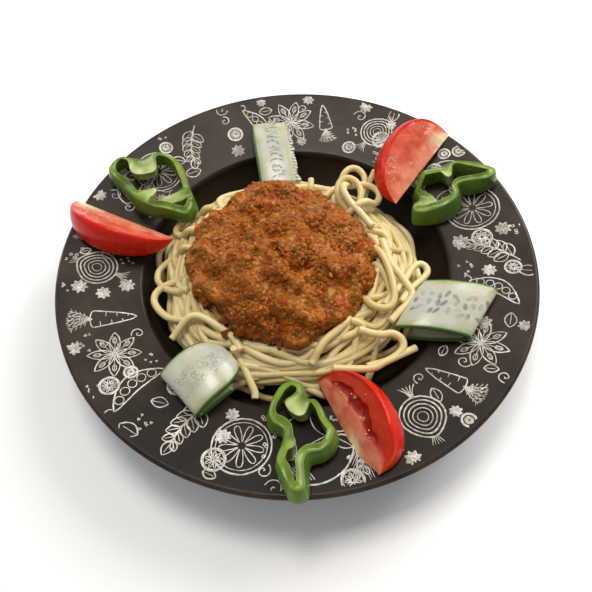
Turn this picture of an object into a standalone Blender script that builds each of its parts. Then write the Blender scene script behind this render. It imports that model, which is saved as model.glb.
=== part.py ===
"""Spaghetti bolognese in a dark wide-rimmed pasta plate, with raw vegetables laid round its rim.

Metres, +Z up. The origin is the centre of the plate's flat foot, on the surface that the plate stands on.
The rim is a shallow cone, so every garnish is laid out flat, tipped by the rim's slope and lowered onto
what carries it.
"""

import math
from collections import namedtuple

import bmesh
import bpy
import numpy as np
from mathutils import Matrix, Vector
from mathutils.bvhtree import BVHTree

MM = 0.001
GAP = 0.0003

# Where a garnish lies: its place in millimetres, and its heading in degrees.
Lie = namedtuple("Lie", "x y heading")

# Plate
PLATE_R = 0.1305
CREST_R, CREST_Z = 0.1288, 0.0400
LIP_R, LIP_Z = 0.0856, 0.0300
FLOOR_R, FLOOR_Z = 0.0500, 0.0060
FOOT_R = 0.0540
WALL = 0.0042
WELL_TURN = math.radians(80)
PLATE_STEPS = 44

# Heap of spaghetti and the sauce on it
HEAP_X, HEAP_Y = -0.005, -0.002
HEAP_R = 0.0745
HEAP_TOP = 0.0490
STRAND = 0.0037
STRAND_POINTS = 10
ARC_POINTS = 7
HEAP_STEPS = 44
SAUCE_X, SAUCE_Y = -0.0075, -0.0047
SAUCE_R = 0.0511
SAUCE_Z = 0.0395
SAUCE_RISE, SAUCE_SINK = 0.0185, 0.0120
LUMP, LUMP_PITCH, LUMP_SEED = 0.0062, 0.0105, 42
SAUCE_CUTS = 12

# Garnish
PEPPER_WALL = 0.0034
PEPPER_POINTS = 46
CUCUMBER_THICK = 0.0020

# Tilts that a garnish is tried at as it comes to rest, in degrees: its outer end up, then one side up.
LIFTS = range(-18, 7)
LEANS = range(-5, 6)
SLOPE = math.degrees(math.atan2(CREST_Z - LIP_Z - 0.0006, CREST_R - LIP_R - 0.003))


def material(name, colour, roughness):
    """A Principled material of one colour."""
    made = bpy.data.materials.new(name)
    made.use_nodes = True
    shader = made.node_tree.nodes["Principled BSDF"]
    shader.inputs["Base Color"].default_value = (*colour, 1.0)
    shader.inputs["Roughness"].default_value = roughness
    made.diffuse_color = (*colour, 1.0)
    return made


def place(name, mesh, collection, finish):
    """An object made from a mesh, with its finish."""
    made = bpy.data.objects.new(name, mesh)
    collection.objects.link(made)
    mesh.materials.clear()
    mesh.materials.append(finish)
    return made


def evaluated(thing):
    """The object's mesh with its modifiers applied, in world space."""
    bpy.context.view_layer.update()
    depsgraph = bpy.context.evaluated_depsgraph_get()
    mesh = bpy.data.meshes.new_from_object(thing.evaluated_get(depsgraph))
    mesh.transform(thing.matrix_world)
    return mesh


def baked(thing):
    """Replaces the object's mesh by its evaluated one, without modifiers."""
    mesh = evaluated(thing)
    made = bpy.data.objects.new(thing.name, mesh)
    for collection in thing.users_collection:
        collection.objects.link(made)
    name = thing.name
    bpy.data.objects.remove(thing)
    made.name = name
    return made


def smooth(thing, angle=40):
    """Smooth shading, with edges sharper than the angle kept."""
    thing.data.shade_smooth()
    thing.data.set_sharp_from_angle(angle=math.radians(angle))


def turned(name, profile, steps, collection, finish):
    """A solid of revolution from a profile of (radius, height) that starts and ends on the axis."""
    mesh = bpy.data.meshes.new(name)
    points = [(r, 0.0, z) for r, z in profile]
    mesh.from_pydata(points, [(i, i + 1) for i in range(len(points) - 1)], [])
    made = place(name, mesh, collection, finish)
    screw = made.modifiers.new("Screw", "SCREW")
    screw.steps = screw.render_steps = steps
    screw.use_merge_vertices = True
    screw.merge_threshold = 0.00001
    return baked(made)


def shape_points(thing, move):
    """Moves the vertices of the object's mesh by a function of their places, all at once."""
    spots = np.empty(3 * len(thing.data.vertices))
    thing.data.vertices.foreach_get("co", spots)
    thing.data.vertices.foreach_set("co", move(spots.reshape(-1, 3)).ravel())
    thing.data.update()


def through(points, count, closed):
    """A smooth curve through the points, as count places evenly spaced along it (Catmull-Rom)."""
    knots = np.asarray(points, dtype=float)
    if closed:
        knots = np.vstack([knots[-1], knots, knots[:2]])
    else:
        knots = np.vstack([2 * knots[0] - knots[1], knots, 2 * knots[-1] - knots[-2]])
    t = np.linspace(0, 1, 24, endpoint=False)[:, None]
    runs = []
    for a, b, c, d in zip(knots, knots[1:], knots[2:], knots[3:]):
        runs.append(b + 0.5 * t * (c - a + t * (2 * a - 5 * b + 4 * c - d + t * (3 * (b - c) + d - a))))
    fine = np.vstack(runs + [knots[-2][None]])
    along = np.concatenate([[0], np.cumsum(np.linalg.norm(np.diff(fine, axis=0), axis=1))])
    wanted = np.linspace(0, along[-1], count, endpoint=not closed)
    return np.column_stack([np.interp(wanted, along, fine[:, k]) for k in range(fine.shape[1])])


# ---------------------------------------------------------------- plate


def plate_profile():
    """Well floor, quarter-round well wall, rounded lip, rim, rolled edge, underside and foot."""
    inner = [(0.0, FLOOR_Z), (FLOOR_R * 0.5, FLOOR_Z)]
    for i in range(6):
        t = WELL_TURN * i / 5
        inner.append((FLOOR_R + (LIP_R - FLOOR_R) * math.sin(t), LIP_Z - (LIP_Z - FLOOR_Z) * math.cos(t)))
    inner += [(LIP_R, LIP_Z - 0.0014), (LIP_R + 0.0010, LIP_Z), (LIP_R + 0.0030, LIP_Z + 0.0006)]
    rise = CREST_Z - LIP_Z - 0.0006
    for share in (0.5, 1.0):
        inner.append((LIP_R + 0.003 + (CREST_R - LIP_R - 0.003) * share, LIP_Z + 0.0006 + rise * share))
    edge = [
        (PLATE_R - 0.0004, CREST_Z - 0.0006),
        (PLATE_R, CREST_Z - 0.0018),
        (PLATE_R - 0.0010, CREST_Z - 0.0032),
    ]
    under = [
        (CREST_R - 0.006, CREST_Z - 0.0014 - WALL),
        (LIP_R + 0.012, LIP_Z + 0.002 - WALL),
        (LIP_R + 0.003, LIP_Z - 0.0015 - WALL),
        (LIP_R - 0.001, LIP_Z - 0.0095),
        (LIP_R - 0.008, LIP_Z - 0.0200),
        (FOOT_R + 0.010, 0.0032),
        (FOOT_R + 0.0015, 0.0012),
        (FOOT_R, 0.0),
        (0.0, 0.0),
    ]
    return inner + edge + under


# ---------------------------------------------------------------- spaghetti and sauce


def heap_outline(angle):
    """The heap's reach at an angle, as a share of its radius: wider left and right, short at the back."""
    even = 0.965 - 0.045 * np.sin(angle) + 0.035 * np.cos(2 * angle)
    return even + 0.012 * np.sin(5 * angle + 0.7) + 0.008 * np.sin(9 * angle)


def heap_profile():
    """From the crown down the dome and in under the heap to the well's floor."""
    dome = [(0, 49.0), (24, 47.8), (40, 44.8), (51, 41.2), (60, 37.0), (66.5, 33.0)]
    side = [(71, 29.2), (72.4, 25.0), (69.5, 18.8), (62, 13.0), (52, 8.6), (42, 6.4)]
    points = [(r * MM * HEAP_R / 0.0745, z * MM * HEAP_TOP / 0.049) for r, z in dome + side]
    return points + [(0.0, FLOOR_Z + 0.0004)]


def heap_points(spots):
    """Places the points of the turned heap, which is uneven in outline down to where it meets the well."""
    x, y, z = spots.T
    angle = np.arctan2(y, x)
    share = heap_outline(angle)
    reach = np.hypot(x, y) * np.where(z > 0.020, share, np.minimum(1.0, share))
    return np.column_stack([HEAP_X + reach * np.cos(angle), HEAP_Y + reach * np.sin(angle), z])


def heap_height(r):
    """The height of the dome at a distance from its middle."""
    dome = heap_profile()[:7]
    return float(np.interp(r, [p[0] for p in dome], [p[1] for p in dome]))


# Strands that lie round the dome: angles in degrees, then distances in millimetres, start and end of each.
ARCS = (
    (-38, 40, 64, 57), (-62, 2, 58, 68), (16, 80, 69, 60), (76, 140, 62, 66), (36, 96, 64, 67),
    (128, 200, 66, 70), (160, 232, 58, 66), (214, 286, 68, 60), (250, 318, 62, 69), (192, 258, 62, 67),
)


def arc_route(start, end, near, far):
    """The places in millimetres of a strand half sunk in the dome, deeper at its ends and by the sauce."""
    places = []
    for i in range(ARC_POINTS):
        share = i / (ARC_POINTS - 1)
        angle = math.radians(start + (end - start) * share)
        r = near + (far - near) * share + 1.5 * math.sin(5 * share + near)
        x = HEAP_X / MM + r * heap_outline(angle) * math.cos(angle)
        y = HEAP_Y / MM + r * heap_outline(angle) * math.sin(angle)
        aside = Vector((x - SAUCE_X / MM, y - SAUCE_Y / MM))
        clear = aside.length - SAUCE_R / MM * sauce_outline(math.atan2(aside.y, aside.x))
        proud = min(1.0, max(0.0, 0.4 * (clear - 3.0)))
        sunk = 2.4 * abs(2 * share - 1) ** 6
        places.append((x, y, heap_height(r * MM) / MM + proud - sunk))
    return places


# Strands that stand clear of the heap's outline: each route in millimetres, from inside the heap and back.
STRAND_ROUTES = (
    ((20, 37, 34), (30, 52, 41), (33, 59, 42), (38, 61, 42), (43, 58, 41), (45, 50, 38), (42, 42, 34)),
    ((16, 33, 33), (22, 39, 37), (26, 44, 45), (29, 49, 49), (35, 50, 49), (40, 46, 48), (42, 40, 43),
     (41, 31, 36)),
    ((34, 47, 36), (41, 50, 39), (48, 49, 38), (53, 44, 37), (53, 38, 36), (48, 32, 36), (40, 27, 37)),
    ((40, 44, 34), (47, 51, 36), (50, 56, 37), (52, 60, 37)),
    ((48, -24, 34), (58, -22, 34), (66, -16, 34), (72, -11, 34), (73, -7, 34), (70, -4, 34), (60, -6, 34)),
    ((18, -62, 30), (32, -67, 31), (44, -64, 31), (51, -61, 31), (60, -57, 31)),
    ((36, -42, 36), (43, -49, 37), (49, -50, 36), (53, -55, 35), (51, -60, 34), (39, -64, 33), (28, -66, 30)),
    ((-33, -56, 30), (-29, -63, 30), (-26, -70, 29), (-24, -75, 28), (-24, -78, 27)),
    ((-56, 8, 30), (-68, 9, 28), (-75, 7, 27), (-79, 2, 27), (-78, -5, 28), (-70, -14, 32), (-58, -19, 35)),
    ((-60, -8, 33), (-74, -10, 31), (-79, -16, 30), (-77, -23, 29), (-70, -31, 30), (-58, -36, 34)),
    ((-46, 34, 36), (-58, 34, 35), (-66, 31, 33), (-69, 26, 32), (-65, 21, 33), (-52, 19, 36)),
)


def strand_mesh(route, count):
    """A round strand with closed ends along its route."""
    points = through([[v * MM for v in p] for p in route], count, closed=False)
    curve = bpy.data.curves.new("strand", "CURVE")
    curve.dimensions = "3D"
    curve.bevel_depth = STRAND / 2
    curve.bevel_resolution = 1
    curve.use_fill_caps = True
    spline = curve.splines.new("POLY")
    spline.points.add(len(points) - 1)
    for target, point in zip(spline.points, points):
        target.co = (*point, 1.0)
    guide = bpy.data.objects.new("strand", curve)
    bpy.context.scene.collection.objects.link(guide)
    mesh = evaluated(guide)
    bpy.data.objects.remove(guide)
    work = bmesh.new()
    work.from_mesh(mesh)
    bmesh.ops.remove_doubles(work, verts=work.verts, dist=0.00001)
    bmesh.ops.recalc_face_normals(work, faces=work.faces)
    work.to_mesh(mesh)
    work.free()
    return mesh


def boolean(target, mesh, operation, cutters):
    """Joins or cuts the target with a mesh that is kept, hidden, among the cutters."""
    cutter = bpy.data.objects.new("cutter", mesh)
    cutters.objects.link(cutter)
    cutter.hide_render = True
    cutter.display_type = "WIRE"
    change = target.modifiers.new("Boolean", "BOOLEAN")
    change.operation = operation
    change.solver = "EXACT"
    change.object = cutter
    return baked(target)


def ball_mesh(cuts):
    """A unit ball from a cube that is cut evenly and blown up round."""
    work = bmesh.new()
    bmesh.ops.create_cube(work, size=2.0)
    bmesh.ops.subdivide_edges(work, edges=work.edges, cuts=cuts, use_grid_fill=True)
    for vertex in work.verts:
        even = Vector([math.tan(c * math.pi / 4) for c in vertex.co])
        vertex.co = even.normalized()
    mesh = bpy.data.meshes.new("ball")
    work.to_mesh(mesh)
    work.free()
    return mesh


def sauce_outline(angle):
    """The sauce's reach at an angle, as a share of its radius."""
    wide = 1.0 - 0.031 * np.sin(2 * angle) - 0.031 * np.cos(2 * angle) + 0.011 * np.cos(4 * angle)
    uneven = 0.009 * np.sin(5 * angle) - 0.011 * np.cos(5 * angle) + 0.010 * np.sin(12 * angle + 1.0)
    return wide + uneven


def scatter(cells, seed):
    """A random number from 0 to 1 for each whole-number cell: the fractional part of a large sine."""
    place = cells @ np.array([127.1, 311.7, 74.7]) + seed * 53.31
    return np.modf(np.abs(np.sin(place)) * 43758.5453)[0]


def clouds(points, pitch, seed):
    """Smooth noise from -1 to 1: random numbers at a lattice's corners, blended smoothly in between."""
    spots = points / pitch
    low = np.floor(spots)
    share = spots - low
    share = share * share * (3.0 - 2.0 * share)
    total = np.zeros(len(points))
    for corner in np.ndindex(2, 2, 2):
        weight = np.prod(np.where(np.array(corner) == 1, share, 1.0 - share), axis=1)
        total += weight * scatter(low + np.array(corner), seed)
    return 2.0 * total - 1.0


def sauce_points(ball):
    """Places the points of a unit ball: a low mound, steep at its edge, with minced lumps."""
    x, y, z = ball.T
    angle = np.arctan2(y, x)
    flat = np.minimum(1.0, np.hypot(x, y))
    up = np.sign(z) * np.abs(z) ** 0.92
    reach = SAUCE_R * sauce_outline(angle) * flat**0.86
    height = SAUCE_Z + up * np.where(up > 0, SAUCE_RISE, SAUCE_SINK)
    spots = np.column_stack([SAUCE_X + reach * np.cos(angle), SAUCE_Y + reach * np.sin(angle), height])
    lump = clouds(spots, LUMP_PITCH, LUMP_SEED) + 0.5 * clouds(spots, LUMP_PITCH / 2, LUMP_SEED + 1)
    push = np.column_stack([0.5 * x, 0.5 * y, np.maximum(z, 0.0)])
    return spots + push * (LUMP * lump)[:, None]


# ---------------------------------------------------------------- garnish


def pose(lie, lift, lean):
    """The pose of a thing laid on the rim: turned to its heading and tilted by the rim's slope.

    Lift raises its outer end further, and lean turns it about the line out from the plate's middle.
    """
    out = math.atan2(lie.y, lie.x)
    outward = Vector((math.cos(out), math.sin(out), 0.0))
    tangent = Vector((-math.sin(out), math.cos(out), 0.0))
    tip = Matrix.Rotation(-math.radians(SLOPE + lift), 4, tangent)
    side = Matrix.Rotation(math.radians(lean), 4, outward)
    turn = Matrix.Rotation(math.radians(lie.heading), 4, "Z")
    return Matrix.Translation((lie.x * MM, lie.y * MM, 0.0)) @ tip @ side @ turn


def tree_of(mesh):
    return BVHTree.FromPolygons([v.co for v in mesh.vertices], [p.vertices for p in mesh.polygons])


def clearance(mesh, trees, beneath):
    """How far the mesh can come straight down before it meets what is beneath it."""
    drops = []
    middles = [sum((mesh.vertices[i].co for i in e.vertices), Vector()) / 2 for e in mesh.edges]
    for spot in [v.co for v in mesh.vertices] + middles:
        for tree in trees:
            hit = tree.ray_cast(spot, Vector((0, 0, -1)))
            if hit[0] is not None:
                drops.append(hit[3])
    own = tree_of(mesh)
    low = Vector(min(v.co[k] for v in mesh.vertices) for k in range(2))
    high = Vector(max(v.co[k] for v in mesh.vertices) for k in range(2))
    for spot in beneath:
        if low.x < spot.x < high.x and low.y < spot.y < high.y:
            hit = own.ray_cast(spot, Vector((0, 0, 1)))
            if hit[0] is not None:
                drops.append(hit[3])
    return min(drops) - GAP


def settle(thing, lie, supports):
    """Lays the thing down where it lies, at the tilt that lets its middle come lowest."""
    trees = [tree_of(s.data) for s in supports]
    beneath = [v.co for s in supports for v in s.data.vertices if v.co.z > LIP_Z - 0.015]
    shape = thing.data.copy()

    def lay(lift, lean):
        mesh = shape.copy()
        mesh.transform(Matrix.Translation((0.0, 0.0, 0.2)) @ pose(lie, lift, lean))
        mesh.transform(Matrix.Translation((0.0, 0.0, -clearance(mesh, trees, beneath))))
        return mesh

    def middle(mesh):
        return sum(v.co.z for v in mesh.vertices) / len(mesh.vertices)

    lift = min(LIFTS, key=lambda angle: middle(lay(angle, 0)))
    lean = min(LEANS, key=lambda angle: middle(lay(lift, angle)))
    lift = min(LIFTS, key=lambda angle: middle(lay(angle, lean)))
    thing.data = lay(lift, lean)


def tomato_wedge(name, length, radius, angle, collection, finish):
    """A segment of a tomato on one cut face: its core edge along X, its skin towards +Y."""
    bpy.ops.mesh.primitive_uv_sphere_add(segments=40, ring_count=18, radius=1.0)
    ball = bpy.context.object
    work = bmesh.new()
    work.from_mesh(ball.data)
    bpy.data.objects.remove(ball)
    for vertex in work.verts:
        x, across, up = vertex.co.z, vertex.co.x, vertex.co.y
        full = max(0.0001, 1.0 - x * x) ** -0.05
        blunt = 1.0 + 0.05 * x
        reach = radius * MM * full * blunt
        vertex.co = Vector((x * length * MM / 2, across * reach, up * reach))
    keep_below = Vector((0.0, -math.sin(math.radians(angle)), math.cos(math.radians(angle))))
    for normal in (Vector((0.0, 0.0, -1.0)), keep_below):
        cut = bmesh.ops.bisect_plane(
            work, geom=work.verts[:] + work.edges[:] + work.faces[:], dist=0.000001,
            plane_co=(0, 0, 0), plane_no=normal, clear_outer=True)
        rim = [e for e in cut["geom_cut"] if isinstance(e, bmesh.types.BMEdge)]
        bmesh.ops.contextual_create(work, geom=rim)
    bmesh.ops.remove_doubles(work, verts=work.verts, dist=0.000005)
    bmesh.ops.recalc_face_normals(work, faces=work.faces)
    bmesh.ops.triangulate(work, faces=[f for f in work.faces if len(f.verts) > 4])
    mesh = bpy.data.meshes.new(name)
    work.to_mesh(mesh)
    work.free()
    made = place(name, mesh, collection, finish)
    smooth(made, 30)
    return made


def pepper_ring(name, outline, ribs, tall, flare, collection, finish):
    """A slice of a pepper: a wall along a closed outline in millimetres, with ribs that point inwards.

    Each rib is (share of the way round, length, half width) in millimetres. The slice is tall millimetres
    high, and its base is wider than its top by the flare.
    """
    count = PEPPER_POINTS
    edge = through(outline, count, closed=True)
    ahead = np.roll(edge, -1, axis=0) - np.roll(edge, 1, axis=0)
    ahead /= np.linalg.norm(ahead, axis=1)[:, None]
    inward = np.column_stack([ahead[:, 1], -ahead[:, 0]])
    share = np.arange(count) / count
    length = np.linalg.norm(np.diff(np.vstack([edge, edge[:1]]), axis=0), axis=1).sum()
    depth = np.full(count, PEPPER_WALL / MM)
    for at, reach, half in ribs:
        apart = np.abs((share - at + 0.5) % 1.0 - 0.5) * length
        depth += reach * np.exp(-((apart / half) ** 4))
    inner = edge + inward * depth[:, None]
    base = edge * flare
    loops = ((edge, tall), (inner, tall), (inner * flare, 0.0), (base, 0.0))
    points = [(x * MM, y * MM, z * MM) for loop, z in loops for x, y in loop]
    faces = []
    for k in range(4):
        for i in range(count):
            j, up = (i + 1) % count, (k + 1) % 4
            faces.append((k * count + i, k * count + j, up * count + j, up * count + i))
    mesh = bpy.data.meshes.new(name)
    mesh.from_pydata(points, [], faces)
    work = bmesh.new()
    work.from_mesh(mesh)
    bmesh.ops.recalc_face_normals(work, faces=work.faces)
    work.to_mesh(mesh)
    work.free()
    made = place(name, mesh, collection, finish)
    smooth(made)
    return made


def cucumber_fold(name, width, skew, crown, tip, route, collection, finish):
    """A long thin slice folded over: a strip that runs out to its fold and back over itself.

    The route is in millimetres, (inwards from the fold, height). Skew moves the strip inwards for each
    millimetre sideways, so that the fold is slanted, and its middle stands higher by the crown. Over the
    last share of its length, the tip, the upper layer narrows to a round end.
    """
    path = through(route, 17, closed=False)
    across = 4
    bpy.ops.mesh.primitive_grid_add(x_subdivisions=len(path) - 1, y_subdivisions=across, size=1.0)
    strip = bpy.context.object
    mesh = strip.data.copy()
    bpy.data.objects.remove(strip)
    for vertex in mesh.vertices:
        index = round((vertex.co.x + 0.5) * (len(path) - 1))
        inwards, height = path[index]
        past = max(0.0, index / (len(path) - 1) - 1.0 + tip) / tip if tip else 0.0
        sideways = vertex.co.y * width * math.sqrt(1.0 - 0.8 * past * past)
        over = crown * (1.0 - (2 * vertex.co.y) ** 2) * index / len(path)
        vertex.co = Vector((inwards + skew * sideways, sideways, height + over)) * MM
    made = place(name, mesh, collection, finish)
    shell = made.modifiers.new("Solidify", "SOLIDIFY")
    shell.thickness = CUCUMBER_THICK
    shell.offset = 0.0
    made = baked(made)
    smooth(made)
    return made


# ---------------------------------------------------------------- the dish


def build():
    for old in list(bpy.data.objects):
        bpy.data.objects.remove(old)
    dish = bpy.data.collections.new("spaghetti_bolognese")
    cutters = bpy.data.collections.new("cutters")
    for collection in (dish, cutters):
        bpy.context.scene.collection.children.link(collection)

    slate = material("slate_glaze", (0.035, 0.030, 0.028), 0.35)
    pasta = material("pasta", (0.80, 0.67, 0.40), 0.40)
    mince = material("bolognese", (0.36, 0.13, 0.035), 0.45)
    tomato = material("tomato", (0.66, 0.06, 0.03), 0.25)
    pepper = material("green_pepper", (0.12, 0.28, 0.03), 0.25)
    cucumber = material("cucumber", (0.62, 0.68, 0.45), 0.25)

    plate = turned("plate", plate_profile(), PLATE_STEPS, dish, slate)
    smooth(plate)

    heap = turned("spaghetti", heap_profile(), HEAP_STEPS, dish, pasta)
    shape_points(heap, heap_points)
    for arc in ARCS:
        heap = boolean(heap, strand_mesh(arc_route(*arc), ARC_POINTS), "UNION", cutters)
    for route in STRAND_ROUTES:
        heap = boolean(heap, strand_mesh(route, STRAND_POINTS), "UNION", cutters)
    smooth(heap, 60)

    sauce = place("sauce", ball_mesh(SAUCE_CUTS), dish, mince)
    shape_points(sauce, sauce_points)
    raised = heap.data.copy()
    raised.transform(Matrix.Translation((0.0, 0.0, GAP)))
    sauce = boolean(sauce, raised, "DIFFERENCE", cutters)
    smooth(sauce, 60)

    carried = [plate, heap, sauce]
    wedges = (
        ("tomato_left", Lie(-96.5, 32.5, 154), 63, 25, 42),
        ("tomato_upper_right", Lie(80, 55, 53), 68, 28, 42),
        ("tomato_bottom_right", Lie(17, -98, -71), 57, 26.5, 43),
    )
    for name, lie, length, radius, angle in wedges:
        wedge = tomato_wedge(name, length, radius, angle, dish, tomato)
        settle(wedge, lie, carried)
        carried.append(wedge)

    rings = (
        ("pepper_upper_left", Lie(-82.5, 51.5, 0),
         ((-18, 23), (-7, 20.5), (4, 25), (14, 18), (20, 8), (23, -4), (27, -14), (22, -23), (11, -20),
          (1, -18.5), (-8, -12), (-17, 0), (-24, 8), (-25, 16)),
         ((0.08, 7, 5.0), (0.40, 17, 2.8), (0.71, 9, 4.5)), 9.5, 1.03),
        ("pepper_right", Lie(90, 36, 0),
         ((-10, 16), (0, 17), (9, 17.5), (19, 14), (26, 10), (29, 5.5), (25, 1), (16, -0.5), (9.5, 0),
          (9, -5), (5, -11), (-1, -14.5), (-9, -15), (-18, -13), (-19, -8), (-15.5, -3), (-17, 3),
          (-14, 10)),
         ((0.11, 5, 3.5), (0.83, 7, 2.6)), 13, 1.07),
        ("pepper_bottom", Lie(-2.5, -105, 0),
         ((-2, 30), (3, 27), (5, 20), (9, 17), (13, 8), (17, 1), (15, -6), (10, -10), (4, -12), (3, -20),
          (2, -26), (-2, -28), (-6, -26), (-9, -19), (-11, -12), (-9, -4), (-8, 3), (-13, 7), (-15, 14),
          (-12, 23), (-8, 28)),
         ((0.09, 7, 2.6), (0.71, 2, 3.0)), 10, 1.05),
    )
    for name, lie, outline, ribs, tall, flare in rings:
        ring = pepper_ring(name, outline, ribs, tall, flare, dish, pepper)
        settle(ring, lie, carried)
        carried.append(ring)

    folds = (
        ("cucumber_top", Lie(-11, 103, -84), 24, 0.12, 1.5, 0,
         ((44, 1.5), (30, -0.5), (15, -1), (4, 0), (0, 1.8), (0.8, 4), (5, 6.5), (17, 9), (32, 8.5),
          (50, 5))),
        ("cucumber_right", Lie(94.5, -45, 167), 31, 0.45, 1.0, 0,
         ((31, 1.5), (22, 0.5), (10, 0), (3, 0.5), (0, 2.5), (2.5, 5.0), (12, 9.0), (24, 11.5), (36, 11.5))),
        ("cucumber_bottom_left", Lie(-60, -78, 40), 31, 0.0, 2.5, 0.30,
         ((22, 2), (14, 1), (6, 0), (1.5, 0.5), (0, 2.2), (1.5, 4.5), (8, 8), (16, 9.5), (24, 8.5),
          (31, 5.5))),
    )
    for name, lie, width, skew, crown, tip, route in folds:
        slice_ = cucumber_fold(name, width, skew, crown, tip, route, dish, cucumber)
        settle(slice_, lie, carried)
        carried.append(slice_)


build()
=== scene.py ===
"""Spaghetti bolognese on its dark pasta plate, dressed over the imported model.

Every piece is built in metres, +Z up, in the model's own frame. The garnish is shaped flat and laid where
the model's nodes lie.
"""

import logging
import math
from collections.abc import Callable, Sequence
from dataclasses import dataclass, field
from enum import Enum
from itertools import product

import bpy
import numpy as np
from mathutils import Matrix, Vector
from numpy.random import Generator, default_rng


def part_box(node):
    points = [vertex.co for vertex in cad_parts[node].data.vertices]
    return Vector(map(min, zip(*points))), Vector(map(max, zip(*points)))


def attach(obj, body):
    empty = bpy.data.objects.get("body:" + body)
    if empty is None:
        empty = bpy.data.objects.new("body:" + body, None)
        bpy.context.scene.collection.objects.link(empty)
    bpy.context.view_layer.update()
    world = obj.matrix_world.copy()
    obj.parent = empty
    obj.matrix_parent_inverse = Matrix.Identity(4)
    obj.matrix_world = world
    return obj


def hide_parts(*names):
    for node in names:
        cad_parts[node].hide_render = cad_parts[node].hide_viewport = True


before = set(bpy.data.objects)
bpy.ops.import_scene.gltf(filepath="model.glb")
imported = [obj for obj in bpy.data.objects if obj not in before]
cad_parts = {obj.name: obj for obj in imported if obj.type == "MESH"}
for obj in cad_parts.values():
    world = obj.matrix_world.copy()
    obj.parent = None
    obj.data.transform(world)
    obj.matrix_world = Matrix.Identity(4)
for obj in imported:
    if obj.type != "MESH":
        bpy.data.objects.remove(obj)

log = logging.getLogger("dish")
MM = 0.001
TURN = 2 * math.pi
BODY = "root"
Array = np.ndarray
Pair = tuple[float, float]
Triple = tuple[float, float, float]
Four = tuple[float, float, float, float]
Tone = tuple[int, int, int]

# The smoothest that a surface gets, and how deep its grain is as a share of the grain's pitch.
LEAST_ROUGHNESS = 0.03
GRAIN_DEPTH = 0.3

# Random numbers from cells: a direction, a step from one seed to the next, and a large scale.
SCATTER_WAY = np.array([127.1, 311.7, 74.7])
SCATTER_SEED = 53.31
SCATTER_SCALE = 43758.5453

# Places worked out between two knots of a curve before they are spaced evenly.
CURVE_STEPS = 24


# -------- colours and finishes


def linear(red: int, green: int, blue: int) -> Four:
    """Turns a screen colour, given as shares of 255, into a linear one with full alpha."""
    shares = [v / 255 for v in (red, green, blue)]
    return (*(v / 12.92 if v <= 0.04045 else ((v + 0.055) / 1.055) ** 2.4 for v in shares), 1.0)


def mixed(low: Tone | Array, high: Tone | Array, share: Array) -> Array:
    """Blends two colours by a share for each point.

    Args:
        low: The colour at share 0: a screen colour, or linear ones in rows.
        high: The colour at share 1, given alike.
        share: A share from 0 to 1 for each point.

    Returns:
        One linear colour for each point.
    """
    weight = np.clip(np.atleast_1d(share), 0.0, 1.0)[:, None]
    first, second = (np.array(linear(*c)) if isinstance(c, tuple) else c for c in (low, high))
    return first * (1.0 - weight) + second * weight


def ramp(value: Array, start: float, end: float) -> Array:
    """Rises smoothly from 0 to 1 as the value goes from start to end, in either direction."""
    share = np.clip((value - start) / (end - start), 0.0, 1.0)
    return share * share * (3.0 - 2.0 * share)


def fill(node: bpy.types.Node, values: dict[str, object]) -> None:
    """Sets a node's inputs by name."""
    for name, value in values.items():
        node.inputs[name].default_value = value


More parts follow.
